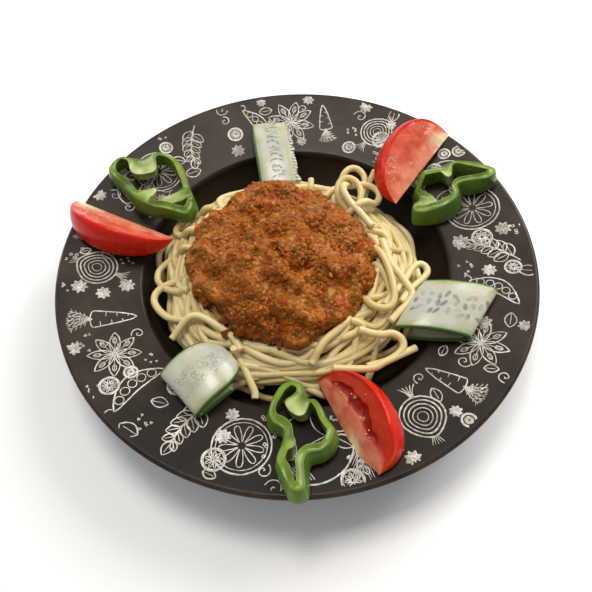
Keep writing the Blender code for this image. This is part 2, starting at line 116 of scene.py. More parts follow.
@dataclass(frozen=True)
class Finish:
    """A glossy or matt surface, coloured flat or by the piece's own paint, with grain and relief."""

    name: str
    colour: Four = (0.5, 0.5, 0.5, 1.0)
    painted: bool = False
    roughness: float = 0.4
    rough_spread: float = 0.1
    mottle: float = 0.15
    mottle_pitch: float = 0.004
    grain: float = 0.2
    grain_pitch: float = 0.0008
    coat: float = 0.0
    coat_roughness: float = 0.1
    flesh: float = 0.0
    flesh_depth: Triple = (0.003, 0.0015, 0.0008)
    specular: float = 0.5

    def noise(self, tree: bpy.types.NodeTree, pitch: float, detail: float) -> bpy.types.Node:
        """Adds a noise pattern on Object coordinates.

        Args:
            tree: The material's node tree.
            pitch: The size of one patch in metres.
            detail: How many finer octaves it has.

        Returns:
            The noise node.
        """
        place = tree.nodes.new("ShaderNodeTexCoord")
        made = tree.nodes.new("ShaderNodeTexNoise")
        fill(made, {"Scale": 1.0 / pitch, "Detail": detail})
        tree.links.new(place.outputs["Object"], made.inputs["Vector"])
        return made

    def make(self) -> bpy.types.Material:
        """Builds the material: colour times a soft mottle, a spread of roughness, and fine relief."""
        made = bpy.data.materials.new(self.name)
        made.use_nodes = True
        tree = made.node_tree
        shader = tree.nodes["Principled BSDF"]
        patches = self.noise(tree, self.mottle_pitch, 3.0)
        tone = tree.nodes.new("ShaderNodeMapRange")
        fill(tone, {"To Min": 1.0 - self.mottle, "To Max": 1.0 + self.mottle})
        tree.links.new(patches.outputs["Fac"], tone.inputs["Value"])
        coloured = tree.nodes.new("ShaderNodeMix")
        coloured.data_type = "RGBA"
        coloured.blend_type = "MULTIPLY"
        fill(coloured, {"Factor": 1.0, "A": self.colour})
        if self.painted:
            paint = tree.nodes.new("ShaderNodeVertexColor")
            paint.layer_name = "paint"
            tree.links.new(paint.outputs["Color"], coloured.inputs["A"])
        tree.links.new(tone.outputs["Result"], coloured.inputs["B"])
        tree.links.new(coloured.outputs["Result"], shader.inputs["Base Color"])
        rough = tree.nodes.new("ShaderNodeMapRange")
        smoothest = max(LEAST_ROUGHNESS, self.roughness - self.rough_spread)
        fill(rough, {"To Min": smoothest, "To Max": self.roughness + self.rough_spread})
        tree.links.new(patches.outputs["Fac"], rough.inputs["Value"])
        tree.links.new(rough.outputs["Result"], shader.inputs["Roughness"])
        fine = self.noise(tree, self.grain_pitch, 2.0)
        relief = tree.nodes.new("ShaderNodeBump")
        fill(relief, {"Strength": self.grain, "Distance": self.grain_pitch * GRAIN_DEPTH})
        tree.links.new(fine.outputs["Fac"], relief.inputs["Height"])
        tree.links.new(relief.outputs["Normal"], shader.inputs["Normal"])
        fill(shader, {
            "Specular IOR Level": self.specular, "Coat Weight": self.coat,
            "Coat Roughness": self.coat_roughness, "Subsurface Weight": self.flesh,
            "Subsurface Scale": 1.0, "Subsurface Radius": self.flesh_depth})
        return made


# -------- patterns and meshes


def scatter(cells: Array, seed: float) -> Array:
    """A random number from 0 to 1 for each whole-number cell: the fractional part of a large sine."""
    mixed_up = cells @ SCATTER_WAY + seed * SCATTER_SEED
    return np.modf(np.abs(np.sin(mixed_up)) * SCATTER_SCALE)[0]


def clouds(points: Array, pitch: float, seed: float) -> Array:
    """Smooth noise: random numbers at the corners of a lattice, blended smoothly in between.

    Args:
        points: The places, one row each.
        pitch: The lattice's spacing.
        seed: Picks the pattern.

    Returns:
        A number from -1 to 1 for each place.
    """
    spots = points / pitch
    low = np.floor(spots)
    share = spots - low
    share = share * share * (3.0 - 2.0 * share)
    total = np.zeros(len(points))
    for corner in np.ndindex(2, 2, 2):
        weight = np.prod(np.where(np.array(corner) == 1, share, 1.0 - share), axis=1)
        total += weight * scatter(low + np.array(corner), seed)
    return 2.0 * total - 1.0


def mottled(low: Tone, high: Tone, points: Array, pitch: float, seed: float, spread: float = 0.6) -> Array:
    """Blends two screen colours in soft patches of a size, which stray from halfway by the spread."""
    return mixed(low, high, 0.5 + spread * clouds(points, pitch, seed))


def crumbs(points: Array, pitch: float, seed: float) -> Array:
    """Round bumps: each place's distance to the nearest of the random spots, one in each lattice cell.

    Args:
        points: The places, one row each.
        pitch: The lattice's spacing.
        seed: Picks the pattern.

    Returns:
        1 at a spot, falling to about 0 midway between spots.
    """
    spots = points / pitch
    low = np.floor(spots)
    nearest = np.full(len(points), 9.0)
    for offset in np.ndindex(3, 3, 3):
        cell = low + np.array(offset) - 1.0
        spot = cell + np.stack([scatter(cell, seed + k) for k in range(3)], axis=1)
        nearest = np.minimum(nearest, ((spots - spot) ** 2).sum(axis=1))
    return 1.0 - np.sqrt(nearest)


def through(points: Sequence[Sequence[float]], count: int, closed: bool = False) -> Array:
    """A smooth curve through the points (Catmull-Rom).

    Args:
        points: The places that it passes through.
        count: How many places to return, evenly spaced along it.
        closed: Whether it runs back to its start.

    Returns:
        The evenly spaced places.
    """
    knots = np.asarray(points, dtype=float)
    if closed:
        knots = np.vstack([knots[-1], knots, knots[:2]])
    else:
        knots = np.vstack([2 * knots[0] - knots[1], knots, 2 * knots[-1] - knots[-2]])
    t = np.linspace(0, 1, CURVE_STEPS, endpoint=False)[:, None]
    runs = []
    for a, b, c, d in zip(knots, knots[1:], knots[2:], knots[3:]):
        runs.append(b + 0.5 * t * (c - a + t * (2 * a - 5 * b + 4 * c - d + t * (3 * (b - c) + d - a))))
    fine = np.vstack(runs + [knots[-2][None]])
    along = np.concatenate([[0], np.cumsum(np.linalg.norm(np.diff(fine, axis=0), axis=1))])
    wanted = np.linspace(0, along[-1], count, endpoint=not closed)
    return np.column_stack([np.interp(wanted, along, fine[:, k]) for k in range(fine.shape[1])])


def smoothed(values: Array, apart: Array, reach: float) -> Array:
    """Averages values, each weighted by exp(-(apart / reach) ** 2)."""
    weight = np.exp(-((apart / reach) ** 2))
    return weight @ values / weight.sum(axis=1)


def unit(ways: Array) -> Array:
    """Directions drawn to length 1."""
    return ways / np.linalg.norm(ways, axis=-1, keepdims=True)


def lattice(rows: int, columns: int, round_rows: bool = False, round_columns: bool = False) -> Array:
    """The four-cornered faces of a grid of points that is stored row by row.

    Args:
        rows: How many rows of points there are.
        columns: How many points a row has.
        round_rows: Whether the last row joins the first.
        round_columns: Whether each row closes into a loop.

    Returns:
        Four point numbers for each face.
    """
    down = np.arange(rows if round_rows else rows - 1)
    right = np.arange(columns if round_columns else columns - 1)
    i, j = np.meshgrid(down, right, indexing="ij")
    below, after = (i + 1) % rows, (j + 1) % columns
    quads = [i * columns + j, i * columns + after, below * columns + after, below * columns + j]
    return np.stack(quads, axis=-1).reshape(-1, 4)


def outward(points: Array, faces: list[Array]) -> list[Array]:
    """Turns the faces of a closed mesh outwards, by the sign of the volume that they close in.

    Args:
        points: The mesh's points.
        faces: Its faces, an array for each number of corners.

    Returns:
        The faces, all turned round if the volume came out negative.
    """
    volume = 0.0
    for group in faces:
        for k in range(1, group.shape[1] - 1):
            a, b, c = (points[group[:, i]] for i in (0, k, k + 1))
            volume += float((a * np.cross(b, c)).sum())
    return [group[:, ::-1] for group in faces] if volume < 0 else faces


@dataclass
class Piece:
    """A mesh piece of the dish, in millimetres: its points, faces and paint, and what it stands for."""

    name: str
    points: Array
    faces: list[Array]
    slot: str
    paint: Array | None = None
    nodes: tuple[str, ...] = ()

    def make(self, finish: bpy.types.Material) -> bpy.types.Object:
        """Puts the piece into the scene.

        Args:
            finish: Its material.

        Returns:
            The new object, which rides on the dish.
        """
        mesh = bpy.data.meshes.new(self.name)
        turned_out = outward(self.points, self.faces)
        mesh.from_pydata((self.points * MM).tolist(), [], [f for group in turned_out for f in group.tolist()])
        mesh.shade_smooth()
        if self.paint is not None:
            colours = np.ones((len(self.points), 4), dtype=np.float32)
            colours[:, :3] = self.paint[:, :3]
            layer = mesh.color_attributes.new("paint", "FLOAT_COLOR", "POINT")
            layer.data.foreach_set("color", colours.ravel())
        mesh.materials.append(finish)
        made = bpy.data.objects.new(self.name, mesh)
        bpy.context.scene.collection.objects.link(made)
        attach(made, BODY)
        if self.nodes:
            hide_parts(*self.nodes)
        log.info("%s: %d points, %d faces", self.name, len(mesh.vertices), len(mesh.polygons))
        return made


def joined(parts: Sequence[tuple[Array, Array]]) -> tuple[Array, Array]:
    """Joins meshes whose faces all have the same number of corners.

    Args:
        parts: The points and the faces of each mesh.

    Returns:
        The points and the faces of them all.
    """
    starts = np.cumsum([0] + [len(points) for points, _ in parts])
    faces = [group + start for (_, group), start in zip(parts, starts)]
    return np.vstack([points for points, _ in parts]), np.vstack(faces)


def revolved(profile: Array, steps: int) -> tuple[Array, list[Array]]:
    """A closed solid of revolution, whose profile starts and ends on the axis.

    A ring point is (r cos a, r sin a, z), and the profile's two ends are one point each.

    Args:
        profile: Rows of (radius, height).
        steps: How many points go round.

    Returns:
        The points and the faces.
    """
    angle = np.arange(steps) * TURN / steps
    r, z = profile[1:-1, :1], profile[1:-1, 1:]
    rings = np.stack([r * np.cos(angle), r * np.sin(angle), z + 0 * angle], axis=-1)
    return lofted(rings, np.array([[0, 0, profile[0, 1]], [0, 0, profile[-1, 1]]]))


def lofted(loops: Array, poles: Array) -> tuple[Array, list[Array]]:
    """A closed skin over a row of closed loops, with a fan to a pole at each end.

    Args:
        loops: (stations, points, 3) places.
        poles: (2, 3) places.

    Returns:
        The points and the faces.
    """
    stations, count = loops.shape[:2]
    here = np.arange(count)
    after = (here + 1) % count
    last, total = (stations - 1) * count, stations * count
    first_fan = np.column_stack([np.full(count, total), after, here])
    last_fan = np.column_stack([np.full(count, total + 1), last + here, last + after])
    sides = lattice(stations, count, round_columns=True)
    return np.vstack([loops.reshape(-1, 3), poles]), [sides, np.vstack([first_fan, last_fan])]


def frames(paths: Array) -> tuple[Array, Array]:
    """Two axes square to each path at each of its points, carried along without twist.

    From one point to the next, the first axis keeps only what is square to the new direction.

    Args:
        paths: (paths, points, 3) places.

    Returns:
        The two axes, in arrays of the same shape.
    """
    ahead = unit(np.gradient(paths, axis=1))
    side = np.zeros_like(paths)
    axis = np.where(np.abs(ahead[:, 0, 2:]) < 0.9, [[0.0, 0.0, 1.0]], [[1.0, 0.0, 0.0]])
    for k in range(paths.shape[1]):
        axis = unit(axis - (axis * ahead[:, k]).sum(axis=1, keepdims=True) * ahead[:, k])
        side[:, k] = axis
    return side, np.cross(ahead, side)


def tubes(paths: Array, radius: Array, sides: int) -> tuple[Array, Array]:
    """Round strands along many paths at once, each closed by a ring that is drawn in to a point.

    Args:
        paths: (strands, points, 3) places.
        radius: (strands, points) radii.
        sides: How many points go round.

    Returns:
        The points and the four-cornered faces of all strands.
    """
    side, other = frames(paths)
    angle = (np.arange(sides) * TURN / sides)[None, None, :, None]
    ring = side[:, :, None] * np.cos(angle) + other[:, :, None] * np.sin(angle)
    points = paths[:, :, None] + ring * radius[:, :, None, None]
    count, length = paths.shape[:2]
    faces = lattice(length, sides, round_columns=True)
    shift = (np.arange(count) * length * sides)[:, None, None]
    return points.reshape(-1, 3), (faces[None] + shift).reshape(-1, 4)


def blob() -> tuple[Array, Array]:
    """A unit ball of 24 four-cornered faces: a cube cut in two each way, with its corners drawn in."""
    spots = [s for s in product((-1.0, 0.0, 1.0), repeat=3) if max(map(abs, s)) == 1.0]
    number = {s: k for k, s in enumerate(spots)}
    faces = []
    for axis, side, a, b in product(range(3), (-1.0, 1.0), (-1.0, 0.0), (-1.0, 0.0)):
        ring = [(a, b), (a + 1, b), (a + 1, b + 1), (a, b + 1)]
        corners = [tuple(np.insert(p, axis, side)) for p in ring]
        flip = (side > 0) == (axis == 1)
        faces.append([number[c] for c in (corners[::-1] if flip else corners)])
    return unit(np.array(spots)), np.array(faces)


def strewn(spots: Array, sizes: Array, turns: Array, seed: int, rough: float) -> tuple[Array, Array]:
    """Uneven lumps, each a ball stretched to its size, dented at random and turned.

    Args:
        spots: (lumps, 3) middles.
        sizes: (lumps, 3) half sizes.
        turns: (lumps, 3, 3) turns.
        seed: Picks the dents.
        rough: The depth of the dents as a share of the size.

    Returns:
        The points and the faces of all lumps.
    """
    ball, faces = blob()
    rng = default_rng(seed)
    dents = 1.0 + rough * rng.uniform(-1.0, 1.0, (len(spots), len(ball), 1))
    shaped = ball[None] * sizes[:, None] * dents
    placed = np.einsum("nij,nkj->nki", turns, shaped) + spots[:, None]
    shift = (np.arange(len(spots)) * len(ball))[:, None, None]
    return placed.reshape(-1, 3), (faces[None] + shift).reshape(-1, 4)


def random_turns(count: int, rng: Generator) -> Array:
    """Random turns, from random four-part unit numbers."""
    w, x, y, z = (q := rng.normal(size=(count, 4))).T / np.linalg.norm(q, axis=1)
    rows = [
        [1 - 2 * (y * y + z * z), 2 * (x * y - z * w), 2 * (x * z + y * w)],
        [2 * (x * y + z * w), 1 - 2 * (x * x + z * z), 2 * (y * z - x * w)],
        [2 * (x * z - y * w), 2 * (y * z + x * w), 1 - 2 * (x * x + y * y)],
    ]
    return np.array(rows).transpose(2, 0, 1)


def surface_normals(grid: Array) -> Array:
    """The unit normal at each point of a grid, square to its two directions."""
    made = np.cross(np.gradient(grid, axis=0), np.gradient(grid, axis=1))
    return made / np.maximum(np.linalg.norm(made, axis=2, keepdims=True), 1e-9)


# -------- plate


def ellipse(x: float, y: float, wide: float, tall: float, start: float = 0, end: float = 360) -> Array:
    """Points along an ellipse, or along the stretch of it between two angles in degrees."""
    count = max(4, round(abs(end - start) * max(wide, tall) / 60))
    angle = np.radians(np.linspace(start, end, count))
    return np.column_stack([x + wide * np.cos(angle), y + tall * np.sin(angle)])


def turned_flat(points: Array, degrees: float) -> Array:
    """Turns flat points about the origin."""
    a = math.radians(degrees)
    return points @ np.array([[math.cos(a), math.sin(a)], [-math.sin(a), math.cos(a)]])


@dataclass
class Stroke:
    """A chalk line: its places in millimetres, and its width."""

    points: Array
    width: float = 0.55


@dataclass
class Motifs:
    """Kitchen-garden drawings for the rim, in chalk strokes, each from its foot up.

    Every length is a share of the drawing's height.
    """

    rng: Generator
    tall: float = 1.0

    def drawn(self, drawing: Callable[[], list[Stroke]], tall: float) -> list[Stroke]:
        """Draws one of the drawings at a height in millimetres."""
        self.tall = tall
        return drawing()

    def line(self, points: Sequence[Sequence[float]], width: float) -> Stroke:
        """A stroke through places."""
        return Stroke(np.array(points) * self.tall, width)

    def ring(self, x: float, y: float, wide: float, tall: float, width: float,
             start: float = 0, end: float = 360) -> Stroke:
        """A stroke along an ellipse, or along the stretch of it between two angles in degrees."""
        return Stroke(ellipse(*(self.tall * np.array([x, y, wide, tall])), start, end), width)

    def leaf(self, x: float, y: float, length: float, heading: float, fat: float = 0.32) -> list[Stroke]:
        """A leaf: two sides that bow out by a sine, and a midrib."""
        t = np.linspace(0, 1, 9)
        bow = fat * length * np.sin(math.pi * t) ** 0.8
        sides = [np.column_stack([sign * bow, t * length]) for sign in (-1, 1)]
        rib = np.column_stack([0 * t, t * length * 0.8])
        lines = [turned_flat(line, heading) + (x, y) for line in (*sides, rib)]
        return [self.line(line, width) for line, width in zip(lines, (0.5, 0.7, 0.35))]

    def lone_leaf(self) -> list[Stroke]:
        """An upright leaf."""
        return self.leaf(0, 0, 1, 0)

    def sprig(self) -> list[Stroke]:
        """A bowed stem with leaves in pairs and one at its tip."""
        t = np.linspace(0, 1, 12)
        stem = np.column_stack([0.14 * np.sin(2.2 * t), 0.8 * t])
        made = [self.line(stem, 0.6)]
        for k, side in enumerate((1, -1) * 5):
            x, y = stem[2 + k] if k < 9 else stem[-1]
            made += self.leaf(x, y, 0.30 - 0.015 * k, -side * 48)
        return made + self.leaf(*stem[-1], 0.24, 0)

    def wheel(self) -> list[Stroke]:
        """A slice of citrus: two rims and rounded segments."""
        made = [self.ring(0, 0.5, 0.5, 0.5, 0.8), self.ring(0, 0.5, 0.43, 0.43, 0.4)]
        t = np.linspace(-1, 1, 13)
        reach = 0.38 * (1 - 0.82 * np.abs(t) ** 3)
        for k in range(9):
            a = np.radians(16 * t + 40 * k)
            made.append(self.line(np.column_stack([reach * np.cos(a), 0.5 + reach * np.sin(a)]), 0.45))
        return made

    def wheat(self) -> list[Stroke]:
        """An ear: a stem, grains on both sides, and awns."""
        made = [self.line([(0, 0), (0.02, 0.5), (0, 0.95)], 0.5)]
        for k in range(7):
            y = 0.36 + 0.08 * k
            for side in (-1, 1):
                made += self.leaf(0, y, 0.15, -side * 28, 0.26)
                made.append(self.line([(side * 0.06, y + 0.12), (side * 0.14, y + 0.33)], 0.3))
        return made

    def mushroom(self) -> list[Stroke]:
        """A cap over a stem, with gills, and hatching on the cap's shaded side."""
        w = 0.52
        made = [self.ring(0, w, w, 0.44, 0.8, 0, 180), self.ring(0, w, w, 0.13, 0.6, 180, 360)]
        made += [self.ring(side * 0.34, 0.2, 0.17, 0.24, 0.5, 90, 90 + side * 180) for side in (-1, 1)]
        made.append(self.ring(0, 0, 0.3, 0.07, 0.5, 180, 360))
        made += [self.line([(0.05 * k, 0.5), (0.105 * k, 0.42)], 0.3) for k in range(-4, 5)]
        for k in range(7):
            x = 0.46 - 0.035 * k
            top = w + 0.4 * math.sqrt(max(0.0, 1 - (x / w) ** 2))
            made.append(self.line([(x, 0.55), (x - 0.02, top - 0.03)], 0.45))
        return made

    def pod(self) -> list[Stroke]:
        """A pea pod: a lens with peas in a row, and a curled stalk."""
        t = np.linspace(0, 1, 15)
        side, bend = 0.15 * np.sin(math.pi * t) ** 0.7, 0.16 * np.sin(math.pi * t)
        made = [self.line(np.column_stack([bend + s * side, t]), 0.7) for s in (-1, 1)]
        for k in range(5):
            y = 0.18 + 0.16 * k
            made.append(self.ring(0.16 * math.sin(math.pi * y), y, 0.07, 0.07, 0.45))
        return made + [self.ring(0.04, 1.06, 0.05, 0.07, 0.6, -90, 120)]

    def onion(self) -> list[Stroke]:
        """A halved onion: layers inside each other, a sprout, and roots."""
        t = np.linspace(0, TURN, 30)
        made = []
        for k in range(5):
            size = 0.36 * (1 - 0.19 * k)
            wide = size * np.sin(t) * (1 - 0.35 * np.cos(t / 2) ** 8)
            made.append(self.line(np.column_stack([wide, 0.42 - size * np.cos(t)]), 0.8 - 0.1 * k))
        for k in range(-2, 3):
            made.append(self.line([(0.02 * k, 0.06), (0.05 * k, -0.06)], 0.3))
            made.append(self.line([(0.01 * k, 0.77), (0.03 * k, 0.9), (0.07 * k, 1)], 0.45))
        return made

    def carrot(self) -> list[Stroke]:
        """A tapered root with cross ticks, and a feathery top."""
        t = np.linspace(0, 1, 12)
        made = [self.line(np.column_stack([s * 0.15 * t**0.6, 0.62 * t]), 0.7) for s in (-1, 1)]
        made.append(self.ring(0, 0.62, 0.15, 0.05, 0.6, 0, 180))
        for k in range(6):
            y = 0.12 + 0.08 * k
            edge = (-1) ** k * 0.15 * (y / 0.62) ** 0.6
            made.append(self.line([(edge, y), (edge * 0.3, y + 0.01)], 0.4))
        for k in range(-2, 3):
            stalk = turned_flat(np.array([(0, 0), (0.02, 0.2), (0, 0.36)]), -14 * k)
            made.append(self.line(stalk + (0, 0.64), 0.5))
            for y in (0.10, 0.17, 0.24, 0.31):
                for s in (-1, 1):
                    twig = turned_flat(np.array([(0, y), (s * 0.05, y + 0.05)]), -14 * k)
                    made.append(self.line(twig + (0, 0.64), 0.35))
        return made

    def star(self) -> list[Stroke]:
        """Star anise: eight pods round a middle, each with a seed."""
        made = []
        for k in range(8):
            made += self.leaf(0, 0.5, 0.48, 45 * k, 0.2)
            seed = turned_flat(self.ring(0, 0.30, 0.035, 0.07, 0.5).points, 45 * k)
            made.append(Stroke(seed + (0, 0.5 * self.tall), 0.5))
        return made

    def curl(self) -> list[Stroke]:
        """A tendril: a spiral that widens evenly."""
        t = np.linspace(0.3, 4.4 * math.pi / 1.6, 26)
        return [self.line(np.column_stack([0.05 * t * np.cos(t), 0.4 + 0.05 * t * np.sin(t)]), 0.55)]

    def dots(self) -> list[Stroke]:
        """Loose peppercorns: small rings."""
        return [self.ring(x, y + 0.5, 0.09, 0.09, 0.5) for x, y in self.rng.uniform(-0.5, 0.5, (6, 2))]


@dataclass
class Plate:
    """The plate: a flat foot, a quarter-round well and a wide rim that slopes to a rolled edge."""

    reach: float = 130.5
    crest: float = 128.8
    crest_height: float = 40.0
    lip: float = 85.6
    lip_height: float = 30.0
    floor: float = 50.0
    floor_height: float = 6.0
    foot: float = 54.0
    wall: float = 4.2
    well_turn: float = 80.0
    lip_round: float = 3.0
    lip_step: float = 0.6
    steps: int = 208
    print_band: Pair = (89.6, 127.4)
    large_count: int = 24
    large_tall: Pair = (27, 35)
    small_tall: Pair = (6, 11)
    small_rings: tuple[float, ...] = (94, 106, 118, 125)
    chalk_proud: float = 0.05
    chalk_sunk: float = 0.25
    chalk_wander: float = 0.12
    chalk_step: float = 1.0

    def rim_height(self, r: Array) -> Array:
        """The height of the rim's upper face, which rises evenly from the lip to the crest."""
        start = self.lip + self.lip_round
        share = (r - start) / (self.crest - start)
        return self.lip_height + self.lip_step + (self.crest_height - self.lip_height - self.lip_step) * share

    def slope(self) -> float:
        """The rim's slope in degrees."""
        rise = self.crest_height - self.lip_height - self.lip_step
        return math.degrees(math.atan2(rise, self.crest - self.lip - self.lip_round))

    def height(self, r: Array) -> Array:
        """The height of the plate's upper face at a distance from its middle."""
        inside = np.clip((r - self.floor) / (self.lip - self.floor), 0.0, 0.985)
        well = self.lip_height - (self.lip_height - self.floor_height) * np.sqrt(1 - inside**2)
        return np.where(r < self.lip, well, self.rim_height(r))

    def profile(self) -> Array:
        """Radius and height from the middle of the well, over the rim, and back under to the middle."""
        turn = np.radians(np.linspace(0, self.well_turn, 42))
        mouth, low, wall = self.lip, self.lip_height, self.wall
        reach, crest, high = self.reach, self.crest, self.crest_height
        depth, run = low - self.floor_height, mouth - self.floor
        well = np.column_stack([self.floor + run * np.sin(turn), low - depth * np.cos(turn)])
        flat = np.column_stack([np.linspace(0, self.floor, 12)[:-1], np.full(11, self.floor_height)])
        lip = through(
            [well[-1], (mouth, low - 1.4), (mouth + 1, low), (mouth + self.lip_round, low + self.lip_step)],
            12)[1:]
        rim_r = np.linspace(mouth + self.lip_round + 0.6, crest - 0.6, 30)
        rim = np.column_stack([rim_r, self.rim_height(rim_r)])
        edge = through(
            [(crest, high), (reach - 0.4, high - 0.6), (reach, high - 1.8), (reach - 1, high - 3.2),
             (crest - 6, high - 1.4 - wall)], 22)
        under = through(
            [edge[-1], (mouth + 12, low + 2 - wall), (mouth + 3, low - 1.5 - wall), (mouth - 1, low - 9.5),
             (mouth - 8, low - 20), (self.foot + 10, 3.2), (self.foot + 1.5, 1.2)], 40)[1:]
        base = [(self.foot + 0.3, 0.25), (self.foot - 0.4, 0.0), (self.foot - 6, 0.0), (self.foot / 2, 0.0)]
        return np.vstack([flat, well, lip, rim, edge, under, base, [(0.0, 0.0)]])

    def body(self) -> Piece:
        """The turned plate, darker and smoother in the well, paler where the foot is bare, with painted shade
        that darkens the rim towards the near side.
        """
        points, faces = revolved(self.profile(), self.steps)
        r = np.hypot(points[:, 0], points[:, 1])
        cloud = clouds(points, 14.0, 1) + 0.6 * clouds(points, 4.0, 2)
        rim = mixed((33, 26, 20), (53, 42, 34), 0.5 + 0.5 * cloud)
        # Painted shade: the rim is painted darker towards the near side (-Y), standing in for the weaker
        # light that falls there.
        rim = mixed(rim, (16, 12, 9), 0.75 * ramp(-points[:, 1], 45.0, 115.0))
        well = mixed((28, 22, 16), (40, 32, 25), 0.5 + 0.4 * cloud)
        paint = mixed(well, rim, ramp(r, self.lip - 0.5, self.lip + 2.5))
        worn = ramp(np.abs(r - self.crest - 0.9), 1.4, 0.2) * ramp(points[:, 2], 36.0, 38.5)
        paint = mixed(paint, (80, 62, 46), 0.42 * worn * (0.6 + 0.5 * cloud))
        foot = ramp(points[:, 2], 0.35, 0.05) * ramp(np.abs(r - self.foot + 3), 3.4, 2.6)
        paint = mixed(paint, (150, 128, 104), foot)
        return Piece("plate_body", points, faces, "slate_glaze", paint, ("plate",))

    def drawings(self) -> list[Stroke]:
        """The rim's drawings: a ring of large ones, and small ones in the gaps between them.

        A drawing's heading, size and place each stray at random from their even spacing.
        """
        rng = default_rng(11)
        art = Motifs(rng)
        large = (art.sprig, art.wheel, art.mushroom, art.wheat, art.onion, art.carrot, art.star, art.pod)
        small = (art.curl, art.dots, art.lone_leaf, art.star, art.wheel)
        made = []
        middle = self.print_band[0] + 18.5
        gap = 360 / self.large_count
        for k in range(self.large_count):
            around = gap * (k + 0.25 * rng.uniform(-1, 1))
            tall = rng.uniform(*self.large_tall)
            spin = rng.choice((0, 180)) + rng.uniform(-28, 28)
            made += self.put(art.drawn(large[k % len(large)], tall), around, middle, spin, tall)
            for r in self.small_rings:
                between = around + gap / 2 * rng.uniform(0.8, 1.2)
                tall = rng.uniform(*self.small_tall)
                drawing = art.drawn(small[rng.integers(len(small))], tall)
                made += self.put(drawing, between, r, rng.uniform(0, 360), tall)
        return made

    def put(self, strokes: list[Stroke], around: float, r: float, spin: float, tall: float) -> list[Stroke]:
        """Moves a drawing onto the rim.

        Args:
            strokes: The drawing, standing on the origin.
            around: Its angle round the plate in degrees.
            r: The distance of its middle from the plate's middle.
            spin: Its turn about its own middle in degrees.
            tall: Its height.

        Returns:
            The placed strokes.
        """
        middle = turned_flat(np.array([[0.0, r]]), around - 90)
        placed = [turned_flat(s.points - (0, tall / 2), spin + around - 90) + middle for s in strokes]
        return [Stroke(points, s.width) for points, s in zip(placed, strokes)]

    def ribbon(self, stroke: Stroke, seed: int) -> list[tuple[Array, Array]]:
        """A chalk line as a flat closed band, a little proud of the glaze and uneven in width.

        Args:
            stroke: The line.
            seed: Picks its unevenness.

        Returns:
            The points and the faces of each stretch that lies within the printed band.
        """
        length = np.linalg.norm(np.diff(stroke.points, axis=0), axis=1).sum()
        if len(stroke.points) > 2:
            line = through(stroke.points, max(4, int(length / self.chalk_step)))
        else:
            line = np.linspace(*stroke.points, max(3, int(length / (1.2 * self.chalk_step))))
        stray = [clouds(np.insert(line, 2, seed + k, 1), 1.7, 5) for k in (0, 40)]
        line = line + self.chalk_wander * np.column_stack(stray)
        r = np.hypot(line[:, 0], line[:, 1])
        inside = (r > self.print_band[0]) & (r < self.print_band[1])
        breaks = np.flatnonzero(np.diff(inside.astype(int))) + 1
        made = []
        for run, keep in zip(np.split(line, breaks), np.split(inside, breaks)):
            if not keep[0] or len(run) < 2:
                continue
            ahead = np.gradient(run, axis=0)
            ahead /= np.maximum(np.linalg.norm(ahead, axis=1, keepdims=True), 1e-6)
            half = 0.5 * stroke.width * (1 + 0.3 * clouds(np.insert(run, 2, seed, 1), 1.1, 6))[:, None]
            aside = np.column_stack([-ahead[:, 1], ahead[:, 0]]) * half
            sides = np.stack([run - aside, run + aside, run + aside, run - aside], axis=1)
            lift = np.array([self.chalk_proud] * 2 + [-self.chalk_sunk] * 2)
            top = self.rim_height(np.hypot(sides[..., 0], sides[..., 1])) + lift
            loop = np.concatenate([sides, top[..., None]], axis=2).reshape(-1, 3)
            ends = np.array([[3, 2, 1, 0], 4 * (len(run) - 1) + np.arange(4)])
            made.append((loop, np.vstack([lattice(len(run), 4, round_columns=True), ends])))
        return made

    def chalk(self) -> Piece:
        """The drawings as one piece, worn thin in places."""
        parts = [part for k, stroke in enumerate(self.drawings()) for part in self.ribbon(stroke, k)]
        points, faces = joined(parts)
        worn = 0.5 + 0.6 * clouds(points, 1.3, 8) + 0.4 * clouds(points, 9.0, 9)
        paint = mixed((150, 143, 132), (222, 217, 206), worn)
        return Piece("plate_chalk", points, [faces], "slate_glaze", paint)

    def make(self) -> None:
        """Builds the plate and its print."""
        glaze = Finish(
            "plate_glaze", painted=True, roughness=0.36, rough_spread=0.08, mottle=0.14, mottle_pitch=0.006,
            grain=0.10, grain_pitch=0.0012, specular=0.18)
        ink = Finish(
            "chalk_print", painted=True, roughness=0.6, mottle=0.25, mottle_pitch=0.0006, grain=0.2,
            grain_pitch=0.0004, specular=0.3)
        self.body().make(glaze.make())
        self.chalk().make(ink.make())


# -------- spaghetti


def around_sauce(angle: Array) -> Array:
    """The sauce's reach at an angle, as a share of its radius."""
    wide = 1.0 - 0.031 * np.sin(2 * angle) - 0.031 * np.cos(2 * angle) + 0.011 * np.cos(4 * angle)
    wide = wide - 0.075 * np.exp(-(((angle - 2.25) / 0.36) ** 2))
    return wide + 0.009 * np.sin(5 * angle) - 0.011 * np.cos(5 * angle) + 0.010 * np.sin(12 * angle + 1.0)


